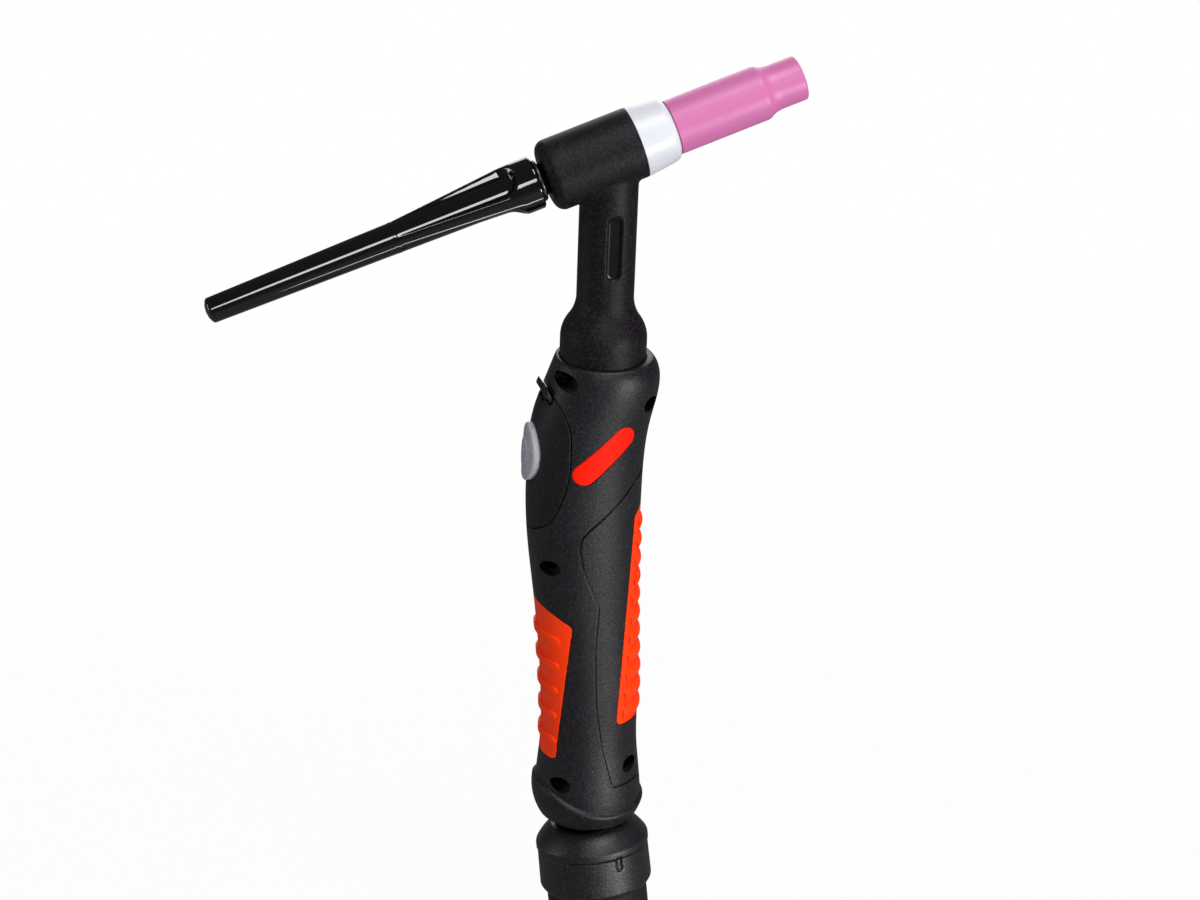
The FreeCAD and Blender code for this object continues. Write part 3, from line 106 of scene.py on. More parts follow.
class Tone(Enum):
    """Plain colours of the torch's materials, as linear light."""

    COVER_BLACK = (0.0050, 0.0036, 0.0054)
    SHELL_BLACK = (0.0052, 0.0037, 0.0060)
    # painted shade: the near black that the mouldings' hollows are darkened to
    PAINTED_SHADE_BLACK = (0.0018, 0.0016, 0.0019)
    CAP_BLACK = (0.0020, 0.0016, 0.0018)
    RUBBER_BLACK = (0.0055, 0.0050, 0.0060)
    GRIP_ORANGE = (0.93, 0.042, 0.0004)
    # painted shade: the darker orange of the grips' valleys
    GRIP_PAINTED_SHADE = (0.52, 0.020, 0.0003)
    LABEL_ORANGE = (0.90, 0.010, 0.0004)
    CERAMIC_PINK = (0.570, 0.150, 0.360)
    # darker pink for the ceramic's random drift and pores, and for its painted shade where it
    # steps in
    CERAMIC_DRIFT_AND_SHADE = (0.45, 0.092, 0.260)
    SHIELD_WHITE = (0.64, 0.655, 0.70)
    BUTTON_GREY = (0.40, 0.385, 0.455)
    # painted shade: the darker grey that the button's hollows are darkened to
    BUTTON_PAINTED_SHADE = (0.12, 0.112, 0.135)
    BRASS = (0.72, 0.55, 0.27)
    COPPER = (0.72, 0.42, 0.27)
    TUNGSTEN = (0.50, 0.50, 0.51)
    STEEL = (0.60, 0.60, 0.60)
    SCREW_BLACK = (0.020, 0.020, 0.021)
    BOARD_GREEN = (0.02, 0.16, 0.06)
    TERMINAL_GREEN = (0.05, 0.30, 0.12)
    PLUNGER_RED = (0.50, 0.02, 0.02)
    CONNECTOR_WHITE = (0.70, 0.70, 0.66)


def rgba(colour: Colour) -> tuple[float, float, float, float]:
    """The colour with full opacity."""
    return (*colour, 1.0)


class Value:
    """A socket's output that can stand in a sum, a product or a comparison."""

    def __init__(self, recipe: "Recipe", socket: bpy.types.NodeSocket) -> None:
        self.recipe = recipe
        self.socket = socket

    def _math(self, operation: str, first: object, second: object) -> "Value":
        """A Math node on two values or numbers.

        Args:
            operation: The node's operation.
            first: Its first value or number.
            second: Its second value or number.

        Returns:
            The node's result.
        """
        node = self.recipe.node("ShaderNodeMath", {"operation": operation},
                                {0: first, 1: second})
        return Value(self.recipe, node.outputs[0])

    def __add__(self, other: object) -> "Value":
        """Sum of this and another."""
        return self._math("ADD", self, other)

    def __radd__(self, other: object) -> "Value":
        """Sum of another and this."""
        return self._math("ADD", other, self)

    def __sub__(self, other: object) -> "Value":
        """This less another."""
        return self._math("SUBTRACT", self, other)

    def __rsub__(self, other: object) -> "Value":
        """Another less this."""
        return self._math("SUBTRACT", other, self)

    def __mul__(self, other: object) -> "Value":
        """Product of this and another."""
        return self._math("MULTIPLY", self, other)

    def __rmul__(self, other: object) -> "Value":
        """Product of another and this."""
        return self._math("MULTIPLY", other, self)

    def size(self) -> "Value":
        """This without its sign."""
        return self._math("ABSOLUTE", self, 0.0)

    def clamped(self) -> "Value":
        """This, held between 0 and 1."""
        node = self.recipe.node("ShaderNodeClamp", {}, {"Value": self})
        return Value(self.recipe, node.outputs[0])

    def swing(self, width: float) -> "Value":
        """This pattern, which runs from 0 to 1, as a swing of a given width about zero."""
        return (self - 0.5) * width

    def between(self, low: float, high: float) -> "Value":
        """A smooth step of this value.

        Args:
            low: Where the step begins, at 0.
            high: Where it ends, at 1.

        Returns:
            The step, from 0 to 1.
        """
        node = self.recipe.node(
            "ShaderNodeMapRange", {"interpolation_type": "SMOOTHSTEP"},
            {"Value": self, "From Min": low, "From Max": high, "To Min": 0.0, "To Max": 1.0},
        )
        return Value(self.recipe, node.outputs[0])


class Recipe:
    """A node tree, written step by step."""

    MIX_FIRST = 6
    MIX_SECOND = 7
    MIX_RESULT = 2
    BEVEL_SAMPLES = 4
    HOLLOW_SAMPLES = 6
    CONVEX_EDGE = (0.53, 0.64)
    ROUNDED_EDGE = (0.01, 0.25)

    def __init__(self, tree: bpy.types.NodeTree) -> None:
        self.tree = tree

    def node(self, kind: str, settings: dict, inputs: dict) -> bpy.types.Node:
        """Add a node.

        Args:
            kind: Its Blender type.
            settings: Its properties, set before its sockets.
            inputs: Numbers, colours or values for its sockets, by name or place.

        Returns:
            The new node.
        """
        made = self.tree.nodes.new(kind)
        for name, setting in settings.items():
            setattr(made, name, setting)
        for key, value in inputs.items():
            self.feed(made.inputs[key], value)
        return made

    def feed(self, socket: bpy.types.NodeSocket, value: object) -> None:
        """Link a value to a socket, or set a plain number or colour there."""
        if isinstance(value, Value):
            self.tree.links.new(value.socket, socket)
        else:
            socket.default_value = value

    def value(self, node: bpy.types.Node, output: int | str = 0) -> Value:
        """One of a node's outputs as a value."""
        return Value(self, node.outputs[output])

    def place(self) -> Value:
        """The point of the surface in the torch's own frame."""
        return self.value(self.node("ShaderNodeTexCoord", {}, {}), "Object")

    def noise(self, size: float, detail: float = 2.0, rough: float = 0.5,
              stretch: Vector | None = None) -> Value:
        """Cloudy pattern.

        Args:
            size: Size of its blotches.
            detail: How many finer layers it has.
            rough: Weight of the finer layers.
            stretch: Factors by which each axis is squeezed, where it is streaky.

        Returns:
            Its level, from 0 to 1.
        """
        vector = self.place()
        if stretch is not None:
            node = self.node("ShaderNodeMapping", {}, {"Vector": vector, "Scale": stretch})
            vector = self.value(node)
        node = self.node("ShaderNodeTexNoise", {}, {
            "Vector": vector, "Scale": 1.0 / size, "Detail": detail, "Roughness": rough,
        })
        return self.value(node, "Fac")

    def along(self, origin: Vector, axis: Vector) -> Value:
        """How far the surface lies from a point.

        Args:
            origin: The point.
            axis: The axis along which the distance counts.

        Returns:
            The distance, with its sign.
        """
        shifted = self.node("ShaderNodeVectorMath", {"operation": "SUBTRACT"},
                            {0: self.place(), 1: origin})
        dotted = self.node("ShaderNodeVectorMath", {"operation": "DOT_PRODUCT"},
                           {0: self.value(shifted), 1: axis})
        return self.value(dotted, "Value")

    def mix(self, share: Value, first: object, second: object) -> Value:
        """A colour between two.

        Args:
            share: How much of the second there is.
            first: A colour or a value that holds one.
            second: The other.

        Returns:
            The mixed colour.
        """
        node = self.node("ShaderNodeMix", {"data_type": "RGBA"},
                         {0: share, self.MIX_FIRST: first, self.MIX_SECOND: second})
        return self.value(node, self.MIX_RESULT)

    def edges(self, radius: float) -> tuple[Value | None, Value]:
        """Find the edges, and round their shading where they are sharp.

        Args:
            radius: Radius of the rounded edge, or 0 on a piece that is modelled round.

        Returns:
            The rounded normal, if there is one, and a mask that is 1 on edges.
        """
        flat = self.node("ShaderNodeNewGeometry", {}, {})
        if radius == 0.0:
            return None, self.value(flat, "Pointiness").between(*self.CONVEX_EDGE)
        bevel = self.node("ShaderNodeBevel", {"samples": self.BEVEL_SAMPLES},
                          {"Radius": radius})
        dotted = self.node("ShaderNodeVectorMath", {"operation": "DOT_PRODUCT"},
                           {0: self.value(bevel), 1: self.value(flat, "Normal")})
        edge = (1.0 - self.value(dotted, "Value")).between(*self.ROUNDED_EDGE)
        return self.value(bevel), edge

    def hollow(self, reach: float) -> Value:
        """How deep a point lies in a hollow, from 0 in the open to 1 well inside."""
        node = self.node("ShaderNodeAmbientOcclusion", {"samples": self.HOLLOW_SAMPLES},
                         {"Distance": reach})
        return 1.0 - self.value(node, "AO")

    def bump(self, height: Value, depth: float, normal: Value | None = None) -> Value:
        """A normal that is roughened by a height pattern.

        Args:
            height: The pattern, from 0 to 1.
            depth: Real height of the pattern.
            normal: The normal that it starts from.

        Returns:
            The new normal.
        """
        inputs = {"Height": height, "Distance": depth, "Strength": 1.0}
        if normal is not None:
            inputs["Normal"] = normal
        return self.value(self.node("ShaderNodeBump", {}, inputs))


class MaterialRecipe(Recipe):
    """The node tree of one material, with its main shader."""

    def __init__(self, name: str) -> None:
        self.material = bpy.data.materials.new(name)
        self.material.use_nodes = True
        super().__init__(self.material.node_tree)
        self.shader = self.tree.nodes["Principled BSDF"]

    def finish(self, **sockets: object) -> bpy.types.Material:
        """Feed the main shader's sockets, named with underscores, and give the material."""
        for name, value in sockets.items():
            socket = name.replace("_", " ").title().replace("Ior", "IOR")
            self.feed(self.shader.inputs[socket], value)
        return self.material


@dataclass(frozen=True)
class Finish:
    """A surface finish, named after the material slot that it belongs to."""

    slot: str
    tone: Tone

    def material(self) -> bpy.types.Material:
        """The finish as a material, made once."""
        name = self.slot + "_finish"
        known = bpy.data.materials.get(name)
        return known if known is not None else self.write(MaterialRecipe(name))

    def write(self, recipe: MaterialRecipe) -> bpy.types.Material:
        """Write the finish into a recipe."""
        raise NotImplementedError

    def toned(self, gain: float, lift: float = 0.0) -> tuple[float, float, float, float]:
        """The finish's tone, made lighter or darker."""
        return rgba(tuple(min(channel * gain + lift, 1.0) for channel in self.tone.value))


@dataclass(frozen=True)
class Moulding(Finish):
    """Moulded plastic or rubber with a fine stipple, rubbed a little on its edges, with painted
    shade in its hollows.
    """

    roughness: float = 0.5
    grain: float = 0.9 * MM
    grain_depth: float = 0.15 * MM
    grain_layering: float = 0.62
    coarse_share: float = 0.75
    fine_size: float = 0.32
    cloud: float = 22 * MM
    cloud_gain: float = 0.1
    speckle: float = 0.6
    speckle_span: Span = (0.48, 0.62)
    edge_radius: float = 0.35 * MM
    edge_gain: float = 0.9
    edge_polish: float = 0.1
    skin_gain: float = 0.7
    speck_gain: float = 3.4
    speck_lift: float = 0.005
    rough_drift: float = 0.16
    shine: float = 0.42
    painted_shade_tone: Tone = Tone.PAINTED_SHADE_BLACK
    hollow_reach: float = 2.5 * MM
    hollow_span: Span = (0.3, 0.8)
    hollow_polish: float = 0.3

    def shaded(self, recipe: Recipe) -> Value:
        """Where the moulding lies in a hollow and gets painted shade, from 0 to 1."""
        return recipe.hollow(self.hollow_reach).between(*self.hollow_span)

    def write(self, recipe: MaterialRecipe) -> bpy.types.Material:
        """Write the stipple, the handling marks, the rubbed edges and the painted shade in the
        hollows.
        """
        grain = recipe.noise(self.grain, detail=3.0, rough=self.grain_layering)
        fine = recipe.noise(self.grain * self.fine_size, detail=1.0)
        cloud = recipe.noise(self.cloud, detail=3.0)
        smooth, edge = recipe.edges(self.edge_radius)
        specks = grain.between(*self.speckle_span) * self.speckle + edge * self.edge_gain
        share = (specks + cloud * self.cloud_gain).clamped()
        skin = self.toned(self.skin_gain)
        open_colour = recipe.mix(share, skin, self.toned(self.speck_gain, self.speck_lift))
        shaded = self.shaded(recipe)
        # painted shade: the colour goes toward the painted shade tone where the hollow mask is
        # high
        colour = recipe.mix(shaded, open_colour, rgba(self.painted_shade_tone.value))
        rough = self.roughness + cloud.swing(self.rough_drift)
        rough = rough - edge * self.edge_polish - shaded * self.hollow_polish
        stipple = grain * self.coarse_share + fine * (1.0 - self.coarse_share)
        height = stipple * (1.0 - shaded)
        return recipe.finish(
            base_color=colour, roughness=rough, specular_ior_level=self.shine,
            normal=recipe.bump(height, self.grain_depth, smooth),
        )


@dataclass(frozen=True)
class NeckMoulding(Moulding):
    """The head cover's moulding, with painted shade on the smooth floor of the neck's long
    panels.
    """

    floor_radius: float = 9.1 * MM
    core_radius: float = 8.0 * MM
    middle: float = 129.2 * MM
    half_length: float = 11.6 * MM
    half_width: float = 2.8 * MM
    blur: float = 0.2 * MM

    def shaded(self, recipe: Recipe) -> Value:
        """Where painted shade falls: the hollows of the moulding and the floors of its two
        panels.
        """
        across = recipe.along(Vector(), Vector((1, 0, 0))).size()
        deep = recipe.along(Vector(), Vector((0, 1, 0))).size()
        high = recipe.along(Vector((0, 0, self.middle)), Vector((0, 0, 1))).size()
        floor = self.floor_radius - self.blur
        # painted shade on the floors of the two recessed panels
        inside = deep.between(self.core_radius - self.blur, self.core_radius)
        inside = inside * (1.0 - deep.between(floor, self.floor_radius))
        inside = inside * (1.0 - across.between(self.half_width, self.half_width + self.blur))
        inside = inside * (1.0 - high.between(self.half_length, self.half_length + self.blur))
        return (super().shaded(recipe) + inside).clamped()


@dataclass(frozen=True)
class Soft(Finish):
    """Soft coloured elastomer with painted shade in its valleys and a painted highlight on its
    crests, a bit dusty.
    """

    shade: Tone = Tone.GRIP_PAINTED_SHADE
    shade_reach: float = 2.2 * MM
    shade_span: Span = (0.35, 1.0)
    shade_drift: float = 0.16
    crest_highlight_gain: float = 0.1
    roughness: float = 0.46
    rough_drift: float = 0.14
    rough_grain: float = 0.1
    cloud: float = 14 * MM
    grain: float = 0.4 * MM
    grain_depth: float = 0.010 * MM
    shine: float = 0.15

    def write(self, recipe: MaterialRecipe) -> bpy.types.Material:
        """Write the fine grain, the colour's drift, the painted shade in the hollows and the
        painted highlight on the crests.
        """
        grain = recipe.noise(self.grain, detail=2.0)
        cloud = recipe.noise(self.cloud, detail=3.0)
        edge = recipe.edges(0.0)[1]
        # painted shade: the valleys go toward the darker orange where the hollow mask is high
        shade = recipe.hollow(self.shade_reach).between(*self.shade_span)
        # painted highlight: convex crests are made lighter
        shade = shade + cloud.swing(self.shade_drift) - edge * self.crest_highlight_gain
        colour = recipe.mix(shade.clamped(), self.toned(1.0), rgba(self.shade.value))
        rough = self.roughness + cloud.swing(self.rough_drift) + grain.swing(self.rough_grain)
        return recipe.finish(base_color=colour, roughness=rough, specular_ior_level=self.shine,
                             normal=recipe.bump(grain, self.grain_depth))


@dataclass(frozen=True)
class Gloss(Finish):
    """Polished black moulding with faint rubbing marks."""

    roughness: float = 0.05
    scratch: float = 0.5 * MM
    scratch_stretch: tuple[float, float, float] = (0.16, 1.0, 0.5)
    scratch_span: Span = (0.55, 0.8)
    scratch_depth: float = 0.0006 * MM
    scratch_rough: float = 0.04
    dust: float = 0.7 * MM
    dust_span: Span = (0.66, 0.8)
    dust_share: float = 0.25
    dust_gain: float = 3.0
    dust_lift: float = 0.004
    cloud: float = 9 * MM
    cloud_rough: float = 0.02
    edge_rough: float = 0.02
    edge_share: float = 0.5
    shine: float = 0.9

    def write(self, recipe: MaterialRecipe) -> bpy.types.Material:
        """Write the polish, its light scratches and its slight dust."""
        stretch = Vector(self.scratch_stretch)
        scratches = recipe.noise(self.scratch, detail=2.0, stretch=stretch)
        dust = recipe.noise(self.dust, detail=2.0).between(*self.dust_span)
        cloud = recipe.noise(self.cloud, detail=2.0)
        edge = recipe.edges(0.0)[1]
        rough = self.roughness + scratches.between(*self.scratch_span) * self.scratch_rough
        rough = rough + cloud * self.cloud_rough + edge * self.edge_rough
        share = (dust * self.dust_share + edge * self.edge_share).clamped()
        colour = recipe.mix(share, self.toned(1.0), self.toned(self.dust_gain, self.dust_lift))
        return recipe.finish(base_color=colour, roughness=rough, specular_ior_level=self.shine,
                             normal=recipe.bump(scratches, self.scratch_depth))


@dataclass(frozen=True)
class Metal(Finish):
    """Turned or drawn metal with fine marks."""

    roughness: float = 0.3
    rough_marks: float = 0.2
    dullness: float = 0.25
    dull_span: Span = (0.4, 0.75)
    dull_gain: float = 0.6
    dull_rough: float = 0.08
    cloud: float = 5 * MM
    marks: float = 0.25 * MM
    marks_depth: float = 0.006 * MM
    edge_radius: float = 0.15 * MM
    edge_polish: float = 0.08

    def write(self, recipe: MaterialRecipe) -> bpy.types.Material:
        """Write the tool marks and the dull patches."""
        marks = recipe.noise(self.marks, detail=2.0)
        cloud = recipe.noise(self.cloud, detail=3.0)
        smooth, edge = recipe.edges(self.edge_radius)
        share = (cloud.between(*self.dull_span) * self.dullness).clamped()
        colour = recipe.mix(share, self.toned(1.0), self.toned(self.dull_gain))
        rough = self.roughness + marks.swing(self.rough_marks)
        rough = rough + cloud * self.dull_rough - edge * self.edge_polish
        return recipe.finish(base_color=colour, metallic=1.0, roughness=rough,
                             normal=recipe.bump(marks, self.marks_depth, smooth))


@dataclass(frozen=True)
class Plain(Finish):
    """Smooth satin moulding or enamel with light mottling."""

    roughness: float = 0.4
    rough_drift: float = 0.12
    rough_grain: float = 0.08
    mottle: float = 0.32
    mottle_span: Span = (0.35, 0.8)
    mottle_gain: float = 0.82
    cloud: float = 6 * MM
    grain: float = 0.3 * MM
    grain_depth: float = 0.006 * MM
    edge_radius: float = 0.3 * MM
    edge_share: float = 0.1
    shine: float = 0.4

    def write(self, recipe: MaterialRecipe) -> bpy.types.Material:
        """Write the mottling and the handling marks."""
        cloud = recipe.noise(self.cloud, detail=4.0)
        grain = recipe.noise(self.grain, detail=1.0)
        smooth, edge = recipe.edges(self.edge_radius)
        mottling = cloud.between(*self.mottle_span) * self.mottle
        share = (mottling + edge * self.edge_share).clamped()
        colour = recipe.mix(share, self.toned(1.0), self.toned(self.mottle_gain))
        rough = self.roughness + cloud.swing(self.rough_drift) + grain.swing(self.rough_grain)
        return recipe.finish(base_color=colour, roughness=rough, specular_ior_level=self.shine,
                             normal=recipe.bump(grain, self.grain_depth, smooth))


@dataclass(frozen=True)
class Ceramic(Finish):
    """Fired ceramic with a satin skin, and painted shade where it steps in."""

    shade: Tone = Tone.CERAMIC_DRIFT_AND_SHADE
    shade_reach: float = 3.5 * MM
    shade_span: Span = (0.05, 0.6)
    shade_drift: float = 0.5
    cloud: float = 7 * MM
    cloud_layering: float = 0.6
    pore: float = 0.22 * MM
    pore_span: Span = (0.66, 0.8)
    pore_share: float = 0.2
    pore_depth: float = 0.008 * MM
    roughness: float = 0.42
    rough_drift: float = 0.12
    shine: float = 0.45

    def write(self, recipe: MaterialRecipe) -> bpy.types.Material:
        """Write the firing's drift of colour, the fine pores and the painted shade where the
        ceramic steps in.
        """
        cloud = recipe.noise(self.cloud, detail=4.0, rough=self.cloud_layering)
        pores = recipe.noise(self.pore, detail=2.0)
        # painted shade where the ceramic steps in, with random drift and pores added
        shade = recipe.hollow(self.shade_reach).between(*self.shade_span)
        shade = shade + cloud.swing(self.shade_drift)
        shade = shade + pores.between(*self.pore_span) * self.pore_share
        colour = recipe.mix(shade.clamped(), self.toned(1.0), rgba(self.shade.value))
        rough = self.roughness + cloud.swing(self.rough_drift) + pores.swing(self.rough_drift)
        return recipe.finish(base_color=colour, roughness=rough, specular_ior_level=self.shine,
                             normal=recipe.bump(pores, self.pore_depth))


class Finishes:
    """Every finish of the torch."""

    COVER = NeckMoulding("black_cover", Tone.COVER_BLACK, roughness=0.5, edge_radius=0.0,
                         shine=0.19)
    SHELL = Moulding("black_shell", Tone.SHELL_BLACK, roughness=0.46)
    MODULE = Moulding("black_module", Tone.SHELL_BLACK, roughness=0.5, grain_depth=0.05 * MM,
                      speckle=0.35, edge_radius=0.0, edge_gain=0.1, shine=0.3)
    KNUCKLE = Moulding("black_knuckle", Tone.SHELL_BLACK, roughness=0.42, edge_radius=0.0,
                       shine=0.55)
    RUBBER = Moulding("black_rubber", Tone.RUBBER_BLACK, roughness=0.6, shine=0.3,
                      edge_radius=0.0)
    SEAL = Gloss("seal_rubber", Tone.CAP_BLACK, roughness=0.35)
    GRIP = Soft("orange_grip", Tone.GRIP_ORANGE)
    LABEL = Plain("orange_label", Tone.LABEL_ORANGE, roughness=0.4, mottle=0.2,
                  edge_radius=0.0, shine=0.1)
    CAP = Gloss("gloss_black", Tone.CAP_BLACK)
    CERAMIC = Ceramic("pink_ceramic", Tone.CERAMIC_PINK)
    SHIELD = Plain("white_shield", Tone.SHIELD_WHITE, roughness=0.38, mottle=0.2,
                   edge_radius=0.0)
    # the button's hollows get painted shade in a darker grey
    BUTTON = Moulding("grey_button", Tone.BUTTON_GREY, roughness=0.5, grain_depth=0.010 * MM,
                      speckle=0.1, edge_gain=0.2, edge_radius=0.0,
                      painted_shade_tone=Tone.BUTTON_PAINTED_SHADE)
    BRASS = Metal("brass", Tone.BRASS)
    COPPER = Metal("copper", Tone.COPPER)
    TUNGSTEN = Metal("tungsten", Tone.TUNGSTEN, roughness=0.34)
    SPRING = Metal("spring_steel", Tone.STEEL, roughness=0.25)
    SCREW = Metal("black_steel", Tone.SCREW_BLACK, roughness=0.34, edge_radius=0.0)
    BOARD = Plain("green_board", Tone.BOARD_GREEN, roughness=0.25)
    SWITCH = Plain("switch_black", Tone.SCREW_BLACK)
    PLUNGER = Plain("switch_red", Tone.PLUNGER_RED)
    TERMINAL = Plain("terminal_green", Tone.TERMINAL_GREEN)
    LEAD = Plain("lead_insulation", Tone.RUBBER_BLACK)
    CONNECTOR = Plain("connector_white", Tone.CONNECTOR_WHITE)
    SEAT = Plain("seat_plastic", Tone.SCREW_BLACK, roughness=0.3)


# Tools that shape and place the pieces

def place(shape: bmesh.types.BMesh, node: str, finish: Finish) -> bpy.types.Object:
    """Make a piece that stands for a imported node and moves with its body.

    Args:
        shape: The piece's mesh, in the torch's own frame; it is used up.
        node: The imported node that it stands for.
        finish: What it is dressed in.

    Returns:
        The piece.
    """
    mesh = bpy.data.meshes.new(node + "_form")
    for face in shape.faces:
        face.smooth = True
    shape.to_mesh(mesh)
    shape.free()
    mesh.materials.append(finish.material())
    piece = bpy.data.objects.new(node + "_form", mesh)
    bpy.context.scene.collection.objects.link(piece)
    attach(piece, *body_of(frame["nodes"][node]))
    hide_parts(node)
    LOG.info("made %s with %d faces", piece.name, len(mesh.polygons))
    return piece


def packed_copy(node: str) -> bmesh.types.BMesh:
    """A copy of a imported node's mesh, with its faces joined at their seams."""
    shape = bmesh.new()
    shape.from_mesh(frame["nodes"][node].data)
    bmesh.ops.remove_doubles(shape, verts=shape.verts, dist=WELD)
    return shape


def ease(shape: bmesh.types.BMesh, points: list[bmesh.types.BMVert], rounds: int) -> None:
    """Draw points towards the middle of their neighbours.

    Args:
        shape: The mesh that they belong to.
        points: The points.
        rounds: How often they are drawn.
    """
    for _ in range(rounds):
        bmesh.ops.smooth_vert(shape, verts=points, factor=0.5, use_axis_x=True,
                              use_axis_y=True, use_axis_z=True)


def evenly_shaded(piece: bpy.types.Object) -> None:
    """Let a piece's large faces keep their own shading beside its rounded edges."""
    modifier = piece.modifiers.new("shading", "WEIGHTED_NORMAL")
    modifier.weight = LARGEST_WEIGHT


class Lathe:
    """A turned form in the making, drawn in millimetres as radius and station."""

    FILLET_FACES = 6

    def __init__(self, outline: Outline, closed: bool = True) -> None:
        self.mesh = bmesh.new()
        self.corners = [self.mesh.verts.new((radius * MM, 0.0, station * MM))
                        for radius, station in outline]
        ends = self.corners[1:] + self.corners[:1] if closed else self.corners[1:]
        for pair in zip(self.corners, ends):
            self.mesh.edges.new(pair)

    def divide(self, corner: int, cuts: int) -> None:
        """Cut the run after a corner into equal lengths, once the other corners are rounded."""
        ends = set(self.corners[corner:corner + 2])
        run = next(edge for edge in self.mesh.edges if set(edge.verts) == ends)
        bmesh.ops.subdivide_edges(self.mesh, edges=[run], cuts=cuts)

    def round(self, corner: int, radius: float) -> None:
        """Round one corner of the outline."""
        bmesh.ops.bevel(self.mesh, geom=[self.corners[corner]], offset=radius * MM,
                        offset_type="OFFSET", segments=self.FILLET_FACES, profile=0.5,
                        affect="VERTICES", material=-1)

    def spin(self, steps: int = 144) -> bmesh.types.BMesh:
        """Turn the outline into a closed solid.

        Args:
            steps: Faces round the form.

        Returns:
            The solid's mesh, on its own Z axis.
        """
        outline = list(self.mesh.verts) + list(self.mesh.edges)
        bmesh.ops.spin(self.mesh, geom=outline, cent=(0, 0, 0), axis=(0, 0, 1),
                       angle=math.tau, steps=steps, use_merge=True)
        bmesh.ops.remove_doubles(self.mesh, verts=self.mesh.verts, dist=WELD)
        bmesh.ops.recalc_face_normals(self.mesh, faces=self.mesh.faces)
        return self.mesh


@dataclass(frozen=True)
class Softened:
    """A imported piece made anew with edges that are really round."""

    node: str
    finish: Finish
    pitch: float
    rounds: int = 3

    def build(self) -> bpy.types.Object:
        """Copy the node, give it an even mesh and ease its edges.

        Returns:
            The new piece.
        """
        source = packed_copy(self.node)
        mesh = bpy.data.meshes.new(self.node + "_draft")
        source.to_mesh(mesh)
        source.free()
        draft = bpy.data.objects.new(self.node + "_draft", mesh)
        bpy.context.scene.collection.objects.link(draft)
        even = draft.modifiers.new("even", "REMESH")
        even.mode = "VOXEL"
        even.voxel_size = self.pitch
        shape = bmesh.new()
        shape.from_object(draft, bpy.context.evaluated_depsgraph_get())
        bpy.data.objects.remove(draft)
        bpy.data.meshes.remove(mesh)
        ease(shape, list(shape.verts), self.rounds)
        return place(shape, self.node, self.finish)


# The torch's pieces

@dataclass(frozen=True)
class HeadAxis:
    """Where the head's axis lies, in the torch's own frame."""

    height: float = 160.0
    angle: float = 70.5

    def matrix(self) -> Matrix:
        """The turn and the shift from a form's own Z axis to the head's."""
        lift = Matrix.Translation((0.0, 0.0, self.height * MM))
        return lift @ Matrix.Rotation(math.radians(self.angle), 4, "Y")


@dataclass(frozen=True)
class Consumables:
    """The ceramic nozzle and the white ring behind it, in stations along the head's axis."""

    axis: HeadAxis = HeadAxis()
    rim_round: float = 0.25
    seat_round: float = 0.3
    shield_rear: float = 9.0
    shield_rear_radius: float = 12.15
    shield_front_radius: float = 10.65
    shield_bore: float = 5.06
    shield_round: float = 2.6
    seat_radius: float = 7.3
    seat_depth: float = 1.0
    nozzle_rear: float = 22.0
    nozzle_front: float = 68.5
    nozzle_radius: float = 9.3
    tip_radius: float = 7.65
    nozzle_rim_round: float = 0.35
    step_rear: float = 54.3
    step_front: float = 58.2
    step_middle: Span = (0.34, 0.42)
    step_rounds: tuple[float, float, float] = (0.9, 0.8, 1.6)
    mouth_round: float = 0.9
    chamber_taper: float = 1.0
    mouth: float = 4.75
    chamber: float = 7.0
    thread: float = 6.25
    thread_length: float = 12.0

    def build(self) -> None:
        """Make both pieces."""
        self.shield()
        self.nozzle()

    def shield(self) -> None:
        """The white ring, tapered to a well rounded front."""
        front = self.nozzle_rear
        ring = Lathe([
            (self.shield_bore, self.shield_rear), (self.shield_rear_radius, self.shield_rear),
            (self.shield_front_radius, front), (self.seat_radius, front),
            (self.seat_radius, front - self.seat_depth),
            (self.shield_bore, front - self.seat_depth),
        ])
        ring.round(1, self.rim_round)
        ring.round(2, self.shield_round)
        ring.round(3, self.seat_round)
        shape = ring.spin()
        shape.transform(self.axis.matrix())
        evenly_shaded(place(shape, "heat_shield", Finishes.SHIELD))

    def nozzle(self) -> None:
        """The nozzle, with its shoulder, its hollow step and its stepped bore."""
        drop = self.nozzle_radius - self.tip_radius
        length = self.step_front - self.step_rear
        above, along = self.step_middle
        thread_end = self.nozzle_rear + self.thread_length
        cup = Lathe([
            (self.thread, self.nozzle_rear), (self.nozzle_radius, self.nozzle_rear),
            (self.nozzle_radius, self.step_rear),
            (self.tip_radius + drop * above, self.step_rear + length * along),
            (self.tip_radius, self.step_front), (self.tip_radius, self.nozzle_front),
            (self.mouth, self.nozzle_front), (self.mouth, self.step_front),
            (self.chamber, self.step_rear - self.chamber_taper), (self.chamber, thread_end),
            (self.thread, thread_end),
        ])
        rounds = (self.nozzle_rim_round, *self.step_rounds, self.mouth_round, self.mouth_round)
        for corner, radius in enumerate(rounds, start=1):
            cup.round(corner, radius)
        shape = cup.spin()
        shape.transform(self.axis.matrix())
        evenly_shaded(place(shape, "nozzle", Finishes.CERAMIC))


